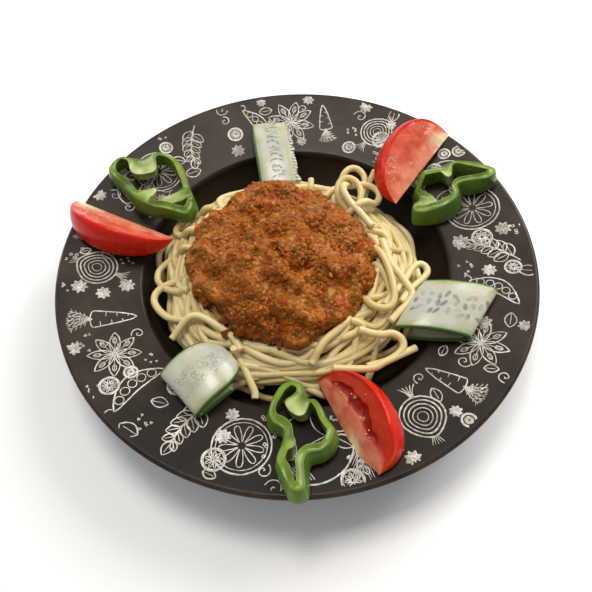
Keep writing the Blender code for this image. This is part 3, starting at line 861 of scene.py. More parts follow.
@dataclass
class Nest:
    """The nest of spaghetti: a core, rings round its side, and strands laid over each other on top.

    Strands are laid one by one on a field of heights: a strand's middle rides a radius above what is under
    it, smoothed as a stiff cord would be, and the strand then raises the field.
    """

    plate: Plate
    x: float = -5.0
    y: float = -2.0
    strand: float = 4.0
    depth: float = 8.0
    pitch: float = 0.5
    half: float = 100.0
    stiffness: float = 11.0
    sink: float = 0.45
    step: float = 1.5
    tip: float = math.radians(50)
    tightest: float = 13.0
    tuck: float = 3.5
    wave: float = 1.2
    covered: Triple = (-7.5, -4.7, 43.0)
    sauce_edge: Pair = (53.0, 46.0)
    dive: float = 6.0
    layers: tuple[float, ...] = (-3.0, -1.2, 0.2)
    bundles_in_layer: int = 50
    fillings_in_layer: int = 9
    hook_count: int = 13
    hook_give: float = 1.4
    loop_points: int = 70
    ring_count: int = 99
    ring_rows: int = 11
    dome: tuple[Pair, ...] = (
        (0, 49.0), (24, 47.8), (40, 44.8), (51, 41.2), (60, 37.0), (66.5, 33.0), (71, 29.2), (72.4, 25.0))
    side: tuple[Pair, ...] = (
        (71, 29.2), (72.4, 25.0), (69.5, 18.8), (62, 13.0), (52, 8.6), (42, 6.4))
    loops: tuple[tuple[Triple, ...], ...] = (
        ((20, 38, 36), (27, 45, 37), (30, 50, 39), (32.4, 54, 42), (35.7, 56.5, 43), (38.7, 57, 43),
         (41.8, 55.6, 42), (43.9, 52, 41), (44, 47, 40), (42, 40.5, 38), (40.5, 35.9, 36)),
        ((28, 14, 38), (32, 23, 38), (31.2, 26.6, 42), (28.4, 29.9, 45), (26.8, 34.7, 47), (27.4, 39.6, 48),
         (29.4, 42.5, 49), (32.5, 44, 49), (35.7, 43, 49), (38.6, 40.1, 48), (39.9, 35.1, 47),
         (39.1, 30.3, 46), (37.6, 25.7, 44), (36.2, 21.1, 42), (36, 14, 38)),
        ((44, 12, 38), (38, 21, 40), (32.5, 29, 42), (30, 34.5, 43), (31, 39, 43), (35, 42.5, 43),
         (40, 44.5, 42), (45.5, 44.4, 41), (49.8, 42, 40), (51.5, 38, 39), (49.9, 33.5, 39),
         (45.4, 29.4, 40), (39.9, 26.5, 42), (35.4, 24.5, 43), (29, 22, 40)),
        ((43, 40, 35), (47, 50, 36), (49.8, 55.4, 37), (51.5, 59, 37)),
        ((11, 40, 40), (12, 46, 42), (12.5, 51, 42)),
        ((45, -36, 39), (52.9, -26.3, 38), (57.7, -20.5, 37), (62.4, -13.6, 36), (65.8, -10.1, 36),
         (69, -9.3, 35), (71.4, -11, 34), (71.6, -14.2, 34), (68.9, -17.7, 34), (63.9, -22.3, 35),
         (58.9, -27.3, 37), (54, -34, 38)),
        ((48, 2, 43), (51.3, -11.9, 42), (56, -20, 40), (59, -25.5, 39), (60.4, -29.2, 38), (59.5, -32.5, 38),
         (56.5, -36, 38), (53.1, -39, 38), (47, -45, 38)),
        ((30, -50, 39), (41.4, -52.3, 38), (46, -51.8, 38), (50, -53.4, 37), (51.9, -56.2, 36),
         (51.2, -59.5, 35), (48, -62.4, 34), (42, -65, 33), (33, -66.6, 32)),
        ((16, -66, 31), (33.9, -68.3, 33), (42, -65.5, 34), (50, -62.2, 34), (58.3, -58.5, 33)),
        ((27, -18, 37), (32.5, -26.5, 41), (35.5, -33.4, 42), (38.1, -36.8, 42), (42.2, -38.8, 41),
         (46.3, -38.8, 41), (49, -36, 42), (50.2, -32, 42), (50.3, -27, 43), (49.9, -21, 43),
         (48.7, -14.3, 43), (45, -4, 42), (38, 6, 40), (28, 12, 37)),
        ((24, -22, 37), (26.2, -32, 40), (25.4, -43, 42), (20, -49.5, 42), (11.6, -56.5, 40),
         (4.9, -65.4, 36)),
        ((-66, -45, 33), (-58, -37.5, 39), (-51.6, -36.6, 41), (-42, -42, 41), (-34, -49, 40),
         (-29.6, -57, 37)),
        ((-33, -56, 34), (-29, -63, 32), (-26, -70, 30), (-24, -75, 28), (-24, -78, 27)),
        ((-56, 8, 34), (-66, 9, 31), (-74, 6, 28), (-78, 1, 27), (-77, -6, 28), (-70, -14, 32),
         (-58, -19, 36)),
        ((-60, -8, 34), (-73, -11, 31), (-78, -16, 30), (-77, -22, 29), (-70, -30, 30), (-58, -36, 35)),
        ((-46, 34, 37), (-57, 34, 35), (-65, 31, 33), (-68, 26, 32), (-64, 21, 34), (-52, 19, 38)),
    )
    field_: Array = field(default_factory=lambda: np.zeros(0))

    def polar(self, r: Array, angle: Array) -> Array:
        """Flat places at distances and angles from the nest's middle."""
        return np.column_stack([self.x + r * np.cos(angle), self.y + r * np.sin(angle)])

    def outline(self, angle: Array) -> Array:
        """The nest's reach at an angle, as a share of its radius: wide on both sides, short at the back.

        On the left it is drawn in, so that the loops there stand clear of it.
        """
        even = 0.965 - 0.045 * np.sin(angle) + 0.035 * np.cos(2 * angle)
        bulge = 0.022 * np.exp(-(((angle - 2.15) / 0.3) ** 2))
        drawn_in = 0.07 * np.exp(-(1 + np.cos(angle - 0.13)) / 0.07)
        return even + bulge - drawn_in + 0.012 * np.sin(5 * angle + 0.7) + 0.008 * np.sin(9 * angle)

    def spread(self, spots: Array) -> Array:
        """How far out spots lie, as distances on an even nest."""
        away = spots[..., :2] - (self.x, self.y)
        return np.hypot(away[..., 0], away[..., 1]) / self.outline(np.arctan2(away[..., 1], away[..., 0]))

    def top(self, spots: Array) -> Array:
        """The height of the nest's surface over spots."""
        r, z = np.array(self.dome).T
        return np.interp(self.spread(spots), r, z)

    def core(self) -> Piece:
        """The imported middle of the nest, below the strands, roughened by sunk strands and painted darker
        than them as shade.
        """
        inner = [(r * 0.94, z - self.depth * 0.9) for r, z in self.dome[:6]]
        outer = [(r - 4.4, z) for r, z in self.side[1:]]
        knots = through([*inner, *outer], 60)
        profile = np.vstack([knots, [(0.0, self.plate.floor_height + 0.4)]])
        profile[0, 0] = 0.0
        points, faces = revolved(profile, 200)
        angle = np.arctan2(points[:, 1], points[:, 0])
        away = np.hypot(points[:, 0], points[:, 1])
        ridge = np.sin(away * 1.7 + 3 * np.sin(3 * angle) + 1.3 * np.sin(7 * angle))
        points[:, :2] *= np.minimum(self.outline(angle), np.where(points[:, 2] > 20, 2.0, 1.0))[:, None]
        points += ridge[:, None] * np.column_stack([0.3 * np.cos(angle), 0.3 * np.sin(angle), 0 * angle])
        points[:, :2] += (self.x, self.y)
        tone = 0.5 + 0.5 * clouds(points, 6.0, 3)
        # Painted shade: the core takes a darker, warmer pasta tone than the strands, standing in for the
        # shade in the gaps between them.
        paint = mixed((146, 116, 58), (170, 140, 80), tone)
        return Piece("nest_core", points, faces, "pasta", paint, ("spaghetti",))

    def ground(self) -> Array:
        """The places of the field of heights."""
        line = np.arange(-self.half, self.half, self.pitch)
        return np.stack(np.meshgrid(line, line, indexing="ij"), axis=-1)

    def start_field(self) -> None:
        """Starts the field of heights: the core inside, the plate outside."""
        spots = self.ground()
        inside = self.spread(spots) < 70.5
        plate = self.plate.height(np.hypot(spots[..., 0], spots[..., 1]))
        self.field_ = np.where(inside, self.top(spots) - self.depth, plate)

    def cells(self, path: Array) -> tuple[Array, Array]:
        """The field's cells within a radius of each place of a path, and the ball's height over each."""
        radius = self.strand / 2
        reach = int(radius / self.pitch)
        steps = np.arange(-reach, reach + 1)
        dx, dy = (g.ravel() for g in np.meshgrid(steps, steps, indexing="ij"))
        away = (dx**2 + dy**2) * self.pitch**2
        keep = away < radius**2
        rise = np.sqrt(radius**2 - away[keep])
        size = self.field_.shape[0]
        at = np.round((path[:, :2] + self.half) / self.pitch).astype(int)
        i = np.clip(at[:, :1] + dx[keep], 0, size - 1)
        j = np.clip(at[:, 1:] + dy[keep], 0, size - 1)
        return i * size + j, rise

    def rest(self, path: Array) -> Array:
        """The heights at which a strand's middle rests along a path.

        Each place rests on the highest point under its ball. The strand then spans dips as an arch does:
        every resting place holds its neighbours up to a parabola that falls away from it.

        Args:
            path: (points, 2 or more) places.

        Returns:
            The height of the strand's middle at each place.
        """
        flat, rise = self.cells(path)
        resting = (self.field_.ravel()[flat] + rise).max(axis=1)
        along = np.concatenate([[0], np.cumsum(np.linalg.norm(np.diff(path[:, :2], axis=0), axis=1))])
        apart = along[:, None] - along[None]
        arch = (resting[None] - apart**2 / (2 * self.stiffness)).max(axis=1)
        return smoothed(arch, apart, 2.2) - self.sink

    def lay(self, path: Array, height: Array) -> Array:
        """Puts a strand down at the given heights and raises the field under it."""
        flat, rise = self.cells(path)
        values = height[:, None] + rise
        surface = self.field_.ravel()
        np.maximum.at(surface, flat.ravel(), values.ravel())
        self.field_ = surface.reshape(self.field_.shape)
        return np.column_stack([path[:, :2], height])

    def sunk(self, path: Array) -> Array:
        """How much lower a strand lies where the sauce covers it."""
        return self.dive * ramp(np.hypot(*(path[:, :2] - self.covered[:2]).T), *self.sauce_edge)

    def tried(self, path: Array, give: float, crowd: float) -> list[Array]:
        """Lays a strand, its ends tucked in, unless too much lies in its way.

        Its height is where it would rest, but no more than a slow random wave about the nest's surface:
        there, soft strands press into each other.

        Args:
            path: (points, 2) places.
            give: How far its upper side may stand over the nest's surface.
            crowd: How far it may be pressed down on average.

        Returns:
            The strand's middle line, or nothing.
        """
        height = self.rest(path)
        own = np.insert(path, 2, path[0, 0] * 7.0, axis=1)
        most = self.top(path) - self.strand / 2 + give + self.wave * clouds(own, 16.0, 14) - self.sunk(path)
        if float(np.mean(height - most)) > crowd:
            return []
        count = np.arange(len(path))
        pressed = smoothed(np.minimum(height, most), np.subtract.outer(count, count), 2.5)
        from_end = self.step * np.minimum(count, count[::-1])
        return [self.lay(path, pressed - self.tuck * ramp(from_end, 9.0, 0.0))]

    def walk(self, spot: Array, heading: Array, way: Array, keep: Array, curl: Array, steps: int) -> Array:
        """Paths that run round the nest.

        At each step a path turns towards the round direction, tipped inwards or outwards towards the
        distance that it keeps to, and a slow sine of its own makes it curl.

        Args:
            spot: (paths, 2) starts.
            heading: Each path's first direction, in radians.
            way: 1 for a path that runs counter-clockwise, -1 for clockwise.
            keep: The distance that each path keeps to.
            curl: (paths, 3) the sine's height, wavelength and phase.
            steps: How many places a path has.

        Returns:
            (paths, steps, 2) places.
        """
        made = np.zeros((len(spot), steps, 2))
        for k in range(steps):
            made[:, k] = spot
            around = np.arctan2(spot[:, 1] - self.y, spot[:, 0] - self.x)
            lean = np.clip((keep - self.spread(spot)) / 12, -1, 1) * self.tip
            off = (around + way * (math.pi / 2 - lean) - heading + math.pi) % (TURN) - math.pi
            turn = np.clip(off / 14, -1 / self.tightest, 1 / self.tightest)
            turn = turn + curl[:, 0] * np.sin(TURN * self.step * k / curl[:, 1] + curl[:, 2])
            heading = heading + self.step * turn
            spot = spot + self.step * np.column_stack([np.cos(heading), np.sin(heading)])
        return made

    def curls(self, count: int, rng: Generator) -> Array:
        """The height, wavelength and phase of each path's slow sine."""
        return np.column_stack([
            rng.uniform(0, 1 / 24, count), rng.uniform(35, 80, count), rng.uniform(0, TURN, count)])

    def bundles(self, count: int, rng: Generator) -> Array:
        """Paths in threes that lie side by side, which run round the nest.

        Args:
            count: How many threes.
            rng: The source of random numbers.

        Returns:
            (count, 3, points, 2) places.
        """
        beside = np.tile([0.0, 1.05, -1.05], count) * self.strand
        start = rng.uniform(44, 69, count).repeat(3) + beside
        keep = rng.uniform(44, 68, count).repeat(3) + beside
        way = rng.choice((-1.0, 1.0), count).repeat(3)
        around = rng.uniform(0, TURN, count).repeat(3) + rng.normal(0, 0.02, 3 * count)
        spot = np.column_stack([np.cos(around), np.sin(around)]) * (start * self.outline(around))[:, None]
        heading = around + way * math.pi / 2 + rng.normal(0, 0.35, count).repeat(3)
        curl = self.curls(count, rng).repeat(3, axis=0)
        paths = self.walk(spot + (self.x, self.y), heading, way, keep, curl, 110)
        return paths.reshape(count, 3, -1, 2)

    def lowest(self, count: int, rng: Generator) -> Array:
        """The places outside the sauce where the nest lacks most of its height, well apart."""
        spots = self.ground()[::4, ::4]
        r = self.spread(spots)
        middle = self.covered[:2]
        bare = (np.hypot(*(spots - middle).transpose(2, 0, 1)) > self.covered[2]) & (r < 68.5)
        lack = self.top(spots) - self.field_[::4, ::4] + rng.uniform(0, 0.6, r.shape)
        lack = np.where(bare, lack, -99.0)
        made = []
        for _ in range(count):
            best = spots[np.unravel_index(np.argmax(lack), lack.shape)]
            made.append(best)
            lack = np.where(np.hypot(*(spots - best).transpose(2, 0, 1)) < 12.0, -99.0, lack)
        return np.array(made)

    def fillings(self, count: int, rng: Generator) -> Array:
        """Paths that run both ways from the lowest places."""
        spots = self.lowest(count, rng)
        around = np.arctan2(spots[:, 1] - self.y, spots[:, 0] - self.x)
        way = rng.choice((-1.0, 1.0), count)
        heading = around + way * math.pi / 2 + rng.normal(0, 0.3, count)
        keep = self.spread(spots) + rng.normal(0, 4.0, count)
        steps = int(rng.integers(24, 46))
        ahead = self.walk(spots, heading, way, keep, self.curls(count, rng), steps)
        behind = self.walk(spots, heading + math.pi, -way, keep, self.curls(count, rng), steps)
        return np.concatenate([behind[:, :0:-1], ahead], axis=1)

    def hooks(self, count: int, rng: Generator) -> list[Array]:
        """Paths that come out from under the sauce, turn near the nest's edge and go back in."""
        made = []
        for _ in range(count):
            middle, half = rng.uniform(0, TURN), rng.uniform(0.18, 0.5)
            peak = rng.uniform(56, 70)
            t = np.linspace(0, 1, 60)
            lean = rng.uniform(-0.35, 0.35)
            angle = middle + half * (2 * t - 1) + lean * np.sin(math.pi * t) ** 2
            r = (38 + (peak - 38) * np.sin(math.pi * t) ** 0.75) * self.outline(angle)
            made.append(through(self.polar(r, angle)[::4], self.loop_points))
        return made

    def pile(self) -> list[Array]:
        """Lays all strands of the top, lowest first, and returns their middle lines."""
        rng = default_rng(7)
        self.start_field()
        made = []
        for give in self.layers:
            for three in self.bundles(self.bundles_in_layer, rng):
                length = int(rng.integers(60, 108))
                for path in three[: rng.integers(1, 4), :length]:
                    made += self.tried(path, give, 3.0)
            for _ in range(self.fillings_in_layer):
                for path in self.fillings(8, rng):
                    made += self.tried(path, give, 3.4)
        for path in self.hooks(self.hook_count, rng):
            made += self.tried(path, self.hook_give, 4.0)
        return made + [self.loop(knots) for knots in self.loops]

    def loop(self, knots: Sequence[Sequence[float]]) -> Array:
        """Lays a loop through its knots, or on what is under it where that is higher."""
        path = through(knots, self.loop_points)
        count = np.arange(self.loop_points)
        inside = self.spread(path) < 62
        height = np.where(inside, np.maximum(path[:, 2], self.rest(path)), path[:, 2]) - self.sunk(path)
        return self.lay(path, smoothed(height, np.subtract.outer(count, count), 3.0))

    def rings(self) -> list[Array]:
        """Strands round the nest's side, at distances down its profile, sunk to three depths."""
        rng = default_rng(3)
        down = 200
        wall = through(
            [(r - self.strand / 2, z) for r, z in ((66.5, 32.0), *self.side[:-1])], down)
        t = np.linspace(-1, 1, 80)
        made = []
        for k in range(self.ring_count):
            at = down * (k % self.ring_rows) / self.ring_rows + rng.uniform(-8, 8)
            middle, half = rng.uniform(0, TURN), rng.uniform(0.35, 1.1)
            angle = middle + half * t
            place = at + rng.uniform(-22, 22) * t + 8 * np.sin(rng.uniform(2, 4) * t + k)
            place = np.clip(place, 0, down - 1)
            sunk = rng.choice((0.2, 1.4, 2.4)) + 2.0 * np.abs(t) ** 8
            r = np.interp(place, np.arange(down), wall[:, 0]) - sunk
            z = np.interp(place, np.arange(down), wall[:, 1])
            share = np.where(z > 20, self.outline(angle), np.minimum(1.0, self.outline(angle)))
            made.append(np.column_stack([self.polar(r * share, angle), z]))
        return made

    def strands(self, name: str, paths: list[Array], count: int, sides: int, seed: int) -> Piece:
        """A piece of many strands, each of its own tone and painted darker the deeper it lies under the
        nest's top, with flat cut ends.

        Args:
            name: The piece's name.
            paths: The strands' middle lines.
            count: How many rings each strand gets.
            sides: How many points a ring has.
            seed: Picks the tones.

        Returns:
            The piece.
        """
        rng = default_rng(seed)
        even = np.stack([
            through(path[::3] if len(path) > 40 else path, count - 6) for path in paths])
        first, last = even[:, :1], even[:, -1:]
        full = np.pad(even, ((0, 0), (3, 3), (0, 0)), "edge")
        ahead, back = unit(even[:, 1:2] - first), unit(even[:, -2:-1] - last)
        for k, shift in enumerate((0.02, 0.05, 0.35)):
            full[:, k] = first[:, 0] - ahead[:, 0] * (0.4 - shift)
            full[:, -1 - k] = last[:, 0] - back[:, 0] * (0.4 - shift)
        thick = self.strand / 2 * rng.uniform(0.93, 1.04, (len(paths), 1)) * np.ones((1, count))
        thick[:, [0, -1]] = 0.002
        thick[:, [1, -2]] *= 0.80
        thick[:, [2, -3]] *= 0.97
        points, faces = tubes(full, thick, sides)
        tone = rng.uniform(0, 1, len(paths)).repeat(count * sides) + 0.35 * clouds(points, 9.0, 12)
        # Painted shade: strands that lie deeper under the nest's top are painted a darker, warmer yellow.
        deep = ramp(self.top(points) - points[:, 2], 1.5, 8.0)
        paint = mixed((200, 178, 118), (216, 198, 146), tone)
        paint = mixed(paint, (188, 150, 74), 0.65 * deep)
        return Piece(name, points, [faces], "pasta", paint)

    def make(self) -> None:
        """Builds the core and the strands."""
        soft = Finish(
            "cooked_pasta", painted=True, roughness=0.36, rough_spread=0.08, mottle=0.05, mottle_pitch=0.004,
            grain=0.10, grain_pitch=0.0007, flesh=0.25, flesh_depth=(0.0016, 0.0012, 0.0007), specular=0.3,
            coat=0.08, coat_roughness=0.25)
        dressed = soft.make()
        self.core().make(dressed)
        pile = self.pile()
        half = len(pile) // 2
        log.info("strands on top: %d", len(pile))
        self.strands("nest_low_strands", pile[:half], 54, 8, 20).make(dressed)
        self.strands("nest_strands", pile[half:], 64, 9, 21).make(dressed)
        self.strands("nest_side_strands", self.rings(), 56, 8, 22).make(dressed)


# -------- sauce


@dataclass
class Sauce:
    """The minced meat sauce: a mound with lumps and granules in relief, and loose mince and bits on it."""

    x: float = -7.5
    y: float = -4.7
    radius: float = 51.1
    base: float = 39.5
    rise: float = 18.5
    reach_power: float = 0.86
    rise_power: float = 0.92
    lump: float = 6.2
    lump_pitch: float = 10.5
    lump_seed: int = 42
    granule: float = 1.15
    granule_pitch: float = 2.7
    cells: int = 306
    creases: tuple[tuple[float, float, tuple[Pair, ...]], ...] = (
        (3.6, 2.3, ((-49, -31), (-42, -35), (-34, -37), (-26, -36.5), (-18, -38.5), (-12, -44), (-8, -53))),
        (2.4, 2.2, ((-9, -7), (-7.8, -12), (-6, -18), (-1.5, -22.5), (5.5, -21))),
        (1.8, 1.6, ((-21, -12), (-20, -15))),
        (1.8, 1.8, ((13, -21), (17, -26), (21, -29))),
        (1.5, 1.8, ((-38, 20), (-30, 12), (-27, 4))),
    )
    step_down: float = 2.6
    tucks: tuple[Pair, ...] = ((0.6, 2.0), (3.0, 4.0), (9.0, 5.0))

    def place(self, ball: Array) -> tuple[Array, Array]:
        """Places points of a unit ball's upper half on the mound, and gives the way out at each.

        The reach is the radius times the outline times a power of the ball's reach, and the height is the
        rise times a power of the ball's height. Lumps push a point up and a little outwards.

        Args:
            ball: (points, 3) places on the ball.

        Returns:
            The places, and the unsmoothed way out.
        """
        x, y, z = ball.T
        angle = np.arctan2(y, x)
        flat = np.minimum(1.0, np.hypot(x, y))
        reach = self.radius * around_sauce(angle) * flat**self.reach_power
        height = self.base + self.rise * np.maximum(z, 0.0) ** self.rise_power
        spots = np.column_stack([self.x + reach * np.cos(angle), self.y + reach * np.sin(angle), height])
        lump = clouds(spots * MM, self.lump_pitch * MM, self.lump_seed)
        lump += 0.5 * clouds(spots * MM, self.lump_pitch * MM / 2, self.lump_seed + 1)
        push = np.column_stack([0.5 * x, 0.5 * y, np.maximum(z, 0.0)])
        return spots + push * (self.lump * lump)[:, None], push

    def ball_grid(self, cells: int) -> Array:
        """A square grid drawn to a round one and raised to the upper half of a unit ball."""
        line = np.linspace(-1, 1, cells)
        u, v = np.meshgrid(line, line, indexing="ij")
        x = u * np.sqrt(1 - v * v / 2)
        y = v * np.sqrt(1 - u * u / 2)
        return np.stack([x, y, np.sqrt(np.maximum(0, 1 - x * x - y * y))], axis=-1)

    def sunken(self, spots: Array) -> Array:
        """How far the surface lies under the mound's: in its creases, and beyond the long one as on a step.

        A crease is its depth times exp(-(distance / half width) ** 2), the distance being to its line.
        """
        made = np.zeros(len(spots))
        for depth, wide, knots in self.creases:
            line = through(knots, 40)
            near = np.hypot(*(spots[:, None, :2] - line[None]).transpose(2, 0, 1)).min(axis=1)
            made += depth * np.exp(-((near / wide) ** 2))
        ledge = through(self.creases[0][2], 60)
        edge = np.interp(spots[:, 0], ledge[:, 0], ledge[:, 1])
        beyond = ramp(edge - spots[:, 1], 0.0, 3.0) * ramp(spots[:, 0], -6.0, -14.0)
        return made + self.step_down * beyond

    def tones(self, points: Array, high: Array) -> Array:
        """The sauce's colour: browns of meat with painted shade in hollows and a painted highlight on raised
        granules, with orange oil and redder patches.
        """
        # Painted shade and highlight: a low height share darkens the browns, and a high one lightens them.
        paint = mixed((110, 54, 10), (148, 82, 16), 0.5 + 0.6 * high)
        paint = mixed(paint, (178, 118, 54), 0.8 * ramp(clouds(points, 1.9, 31) + 0.7 * high, 0.26, 0.92))
        paint = mixed(paint, (162, 82, 6), 0.65 * ramp(clouds(points, 3.4, 32), 0.10, 0.6))
        paint = mixed(paint, (150, 44, 10), 0.6 * ramp(clouds(points, 3.9, 33), 0.42, 0.75))
        return mixed(paint, (122, 84, 16), 0.5 * ramp(clouds(points, 4.8, 34), 0.30, 0.7))

    def mound(self) -> Piece:
        """The mound's surface with a rounded edge that tucks in under itself."""
        n = self.cells
        ball = self.ball_grid(n)
        spots = self.place(ball.reshape(-1, 3))[0]
        grid = spots.reshape(n, n, 3)
        out = surface_normals(grid)
        out *= np.sign(out[..., 2:])
        bent = spots + 0.6 * np.column_stack([clouds(spots, 1.4, k) for k in (46, 47, 48)])
        coarse = crumbs(bent, self.granule_pitch, 51).reshape(n, n)
        fine = crumbs(bent, self.granule_pitch / 2.0, 55).reshape(n, n)
        deep = clouds(spots, 6.0, 58).reshape(n, n)
        low = self.sunken(spots).reshape(n, n)
        high = coarse - 0.5 + 0.55 * fine
        grid = grid + out * (self.granule * (high + 0.9 * deep) - low)[..., None]
        edge = np.concatenate([
            np.arange(n), n * np.arange(1, n) + n - 1, n * (n - 1) + np.arange(n - 2, -1, -1),
            n * np.arange(n - 2, 0, -1)])
        top = grid.reshape(-1, 3)
        rim = top[edge]
        away = unit((rim - (self.x, self.y, 0.0)) * (1, 1, 0))
        under = [rim - away * inwards - (0, 0, drop) for inwards, drop in self.tucks]
        count = len(edge)
        points = np.vstack([top, *under, [[self.x, self.y, self.base - 4]]])
        rows = np.vstack([edge, *[n * n + k * count + np.arange(count) for k in range(len(under))]])
        skirt = rows.ravel()[lattice(len(rows), count, round_columns=True)]
        fan = np.column_stack([rows[-1], np.roll(rows[-1], -1), np.full(count, len(points) - 1)])
        # Painted shade and highlight: the tone falls in hollows and creases and rises on raised granules.
        tone = np.concatenate([(high + 0.4 * deep - 0.35 * low).ravel(), np.zeros(len(under) * count + 1)])
        faces = [np.vstack([lattice(n, n), skirt]), fan]
        return Piece("sauce_mound", points, faces, "bolognese", self.tones(points, tone), ("sauce",))

    def spots(self, count: int, rng: Generator, sunk: float) -> Array:
        """Random places a given way below the mound's surface, evenly spread over it."""
        r = np.sqrt(rng.uniform(0, 0.95, count)) ** (1 / self.reach_power)
        around = rng.uniform(0, TURN, count)
        flat = np.minimum(r, 0.9995)
        ball = np.column_stack([flat * np.cos(around), flat * np.sin(around), np.sqrt(1 - flat**2)])
        placed, out = self.place(ball)
        return placed - unit(out) * (sunk + self.sunken(placed))[:, None]

    def loose(self, name: str, count: int, size: Pair, stretch: float, seed: int,
              low: Tone, high: Tone, sunk: float = 0.4, rough: float = 0.3, blend: float = 0.0) -> Piece:
        """Loose bits scattered over the mound, half sunk in it.

        Args:
            name: The piece's name.
            count: How many bits.
            size: The least and the greatest half size.
            stretch: How much longer than wide a bit may be.
            seed: Picks the places, sizes and turns.
            low: The darkest colour.
            high: The palest colour.
            sunk: How far the bits' middles lie below the surface.
            rough: How uneven a bit is.
            blend: How far the sauce's own tones cover the bit's.

        Returns:
            The piece.
        """
        rng = default_rng(seed)
        spots = self.spots(count, rng, sunk)
        halves = rng.uniform(*size, (count, 1)) * rng.uniform(0.7, 1.0, (count, 3))
        halves[:, 0] *= rng.uniform(1, stretch, count)
        points, faces = strewn(spots, halves, random_turns(count, rng), seed + 1, rough)
        each = rng.uniform(0, 1, count).repeat(len(points) // count) + 0.3 * clouds(points, 1.0, seed)
        own = mixed(low, high, each)
        return Piece(name, points, [faces], "bolognese", mixed(own, self.tones(points, each - 0.4), blend))

    def make(self) -> None:
        """Builds the mound and everything loose on it."""
        wet = Finish(
            "meat_sauce", painted=True, roughness=0.34, rough_spread=0.14, mottle=0.14, mottle_pitch=0.002,
            grain=0.5, grain_pitch=0.0006, flesh=0.2, flesh_depth=(0.0012, 0.0007, 0.0002), specular=0.08,
            coat=0.16, coat_roughness=0.08).make()
        self.mound().make(wet)
        brown = ((118, 62, 14), (174, 110, 46))
        self.loose(
            "mince_crumbs", 2800, (0.7, 1.7), 1.7, 61, *brown, sunk=0.75, rough=0.42, blend=0.6).make(wet)
        orange = ((150, 68, 6), (180, 94, 18))
        self.loose("mince_orange", 220, (0.9, 1.9), 1.7, 62, *orange, sunk=0.7, blend=0.4).make(wet)
        bright = Finish(
            "sauce_bits", painted=True, roughness=0.28, mottle=0.12, mottle_pitch=0.001, grain=0.2,
            grain_pitch=0.0005, flesh=0.05, flesh_depth=(0.002, 0.0008, 0.0004), specular=0.1,
            coat=0.12).make()
        red = ((128, 36, 6), (158, 58, 12))
        self.loose("tomato_bits", 60, (1.1, 2.4), 1.8, 63, *red, sunk=1.2, blend=0.25).make(bright)
        gold = ((168, 112, 26), (190, 146, 52))
        self.loose("onion_bits", 14, (0.8, 1.5), 1.4, 64, *gold, sunk=0.5).make(bright)
        green = ((48, 50, 20), (84, 84, 40))
        self.loose("herb_bits", 22, (0.5, 1.2), 2.0, 65, *green, sunk=0.1).make(bright)


# -------- garnish


@dataclass
class Garnish:
    """A thing laid on the rim: turned to its heading, tilted by the rim's slope, and set on its support."""

    node: str
    x: float
    y: float
    heading: float
    matrix: Matrix = field(default_factory=Matrix)

    def tilted(self, lift: float, lean: float) -> Matrix:
        """The turn of the thing: heading first, then a lean about the line out, then the slope and lift."""
        out = math.atan2(self.y, self.x)
        outward = Vector((math.cos(out), math.sin(out), 0.0))
        tangent = Vector((-math.sin(out), math.cos(out), 0.0))
        tip = Matrix.Rotation(-math.radians(Plate().slope() + lift), 3, tangent)
        side = Matrix.Rotation(math.radians(lean), 3, outward)
        return tip @ side @ Matrix.Rotation(math.radians(self.heading), 3, "Z")

    def settle(self, shape: Array) -> None:
        """Finds the tilt at which the shape fills its node's box, and keeps the pose.

        Args:
            shape: Points of the plain shape, flat.
        """
        low, high = (np.array(corner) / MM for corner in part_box(self.node))
        best = math.inf
        for lift in range(-18, 7):
            for lean in range(-5, 6):
                turn = self.tilted(lift, lean)
                spots = shape @ np.array(turn).T
                least, most = spots.min(axis=0), spots.max(axis=0)
                shift = np.array([self.x, self.y, high[2] - most[2]])
                miss = np.abs(least + shift - low).sum() + np.abs(most + shift - high).sum()
                if miss < best:
                    best = miss
                    self.matrix = Matrix.Translation(shift) @ turn.to_4x4()
        log.info("%s settled, off by %.2f mm", self.node, best)

    def laid(self, points: Array) -> Array:
        """The points of the flat shape in the kept pose."""
        turn = np.array(self.matrix)
        return points @ turn[:3, :3].T + turn[:3, 3]


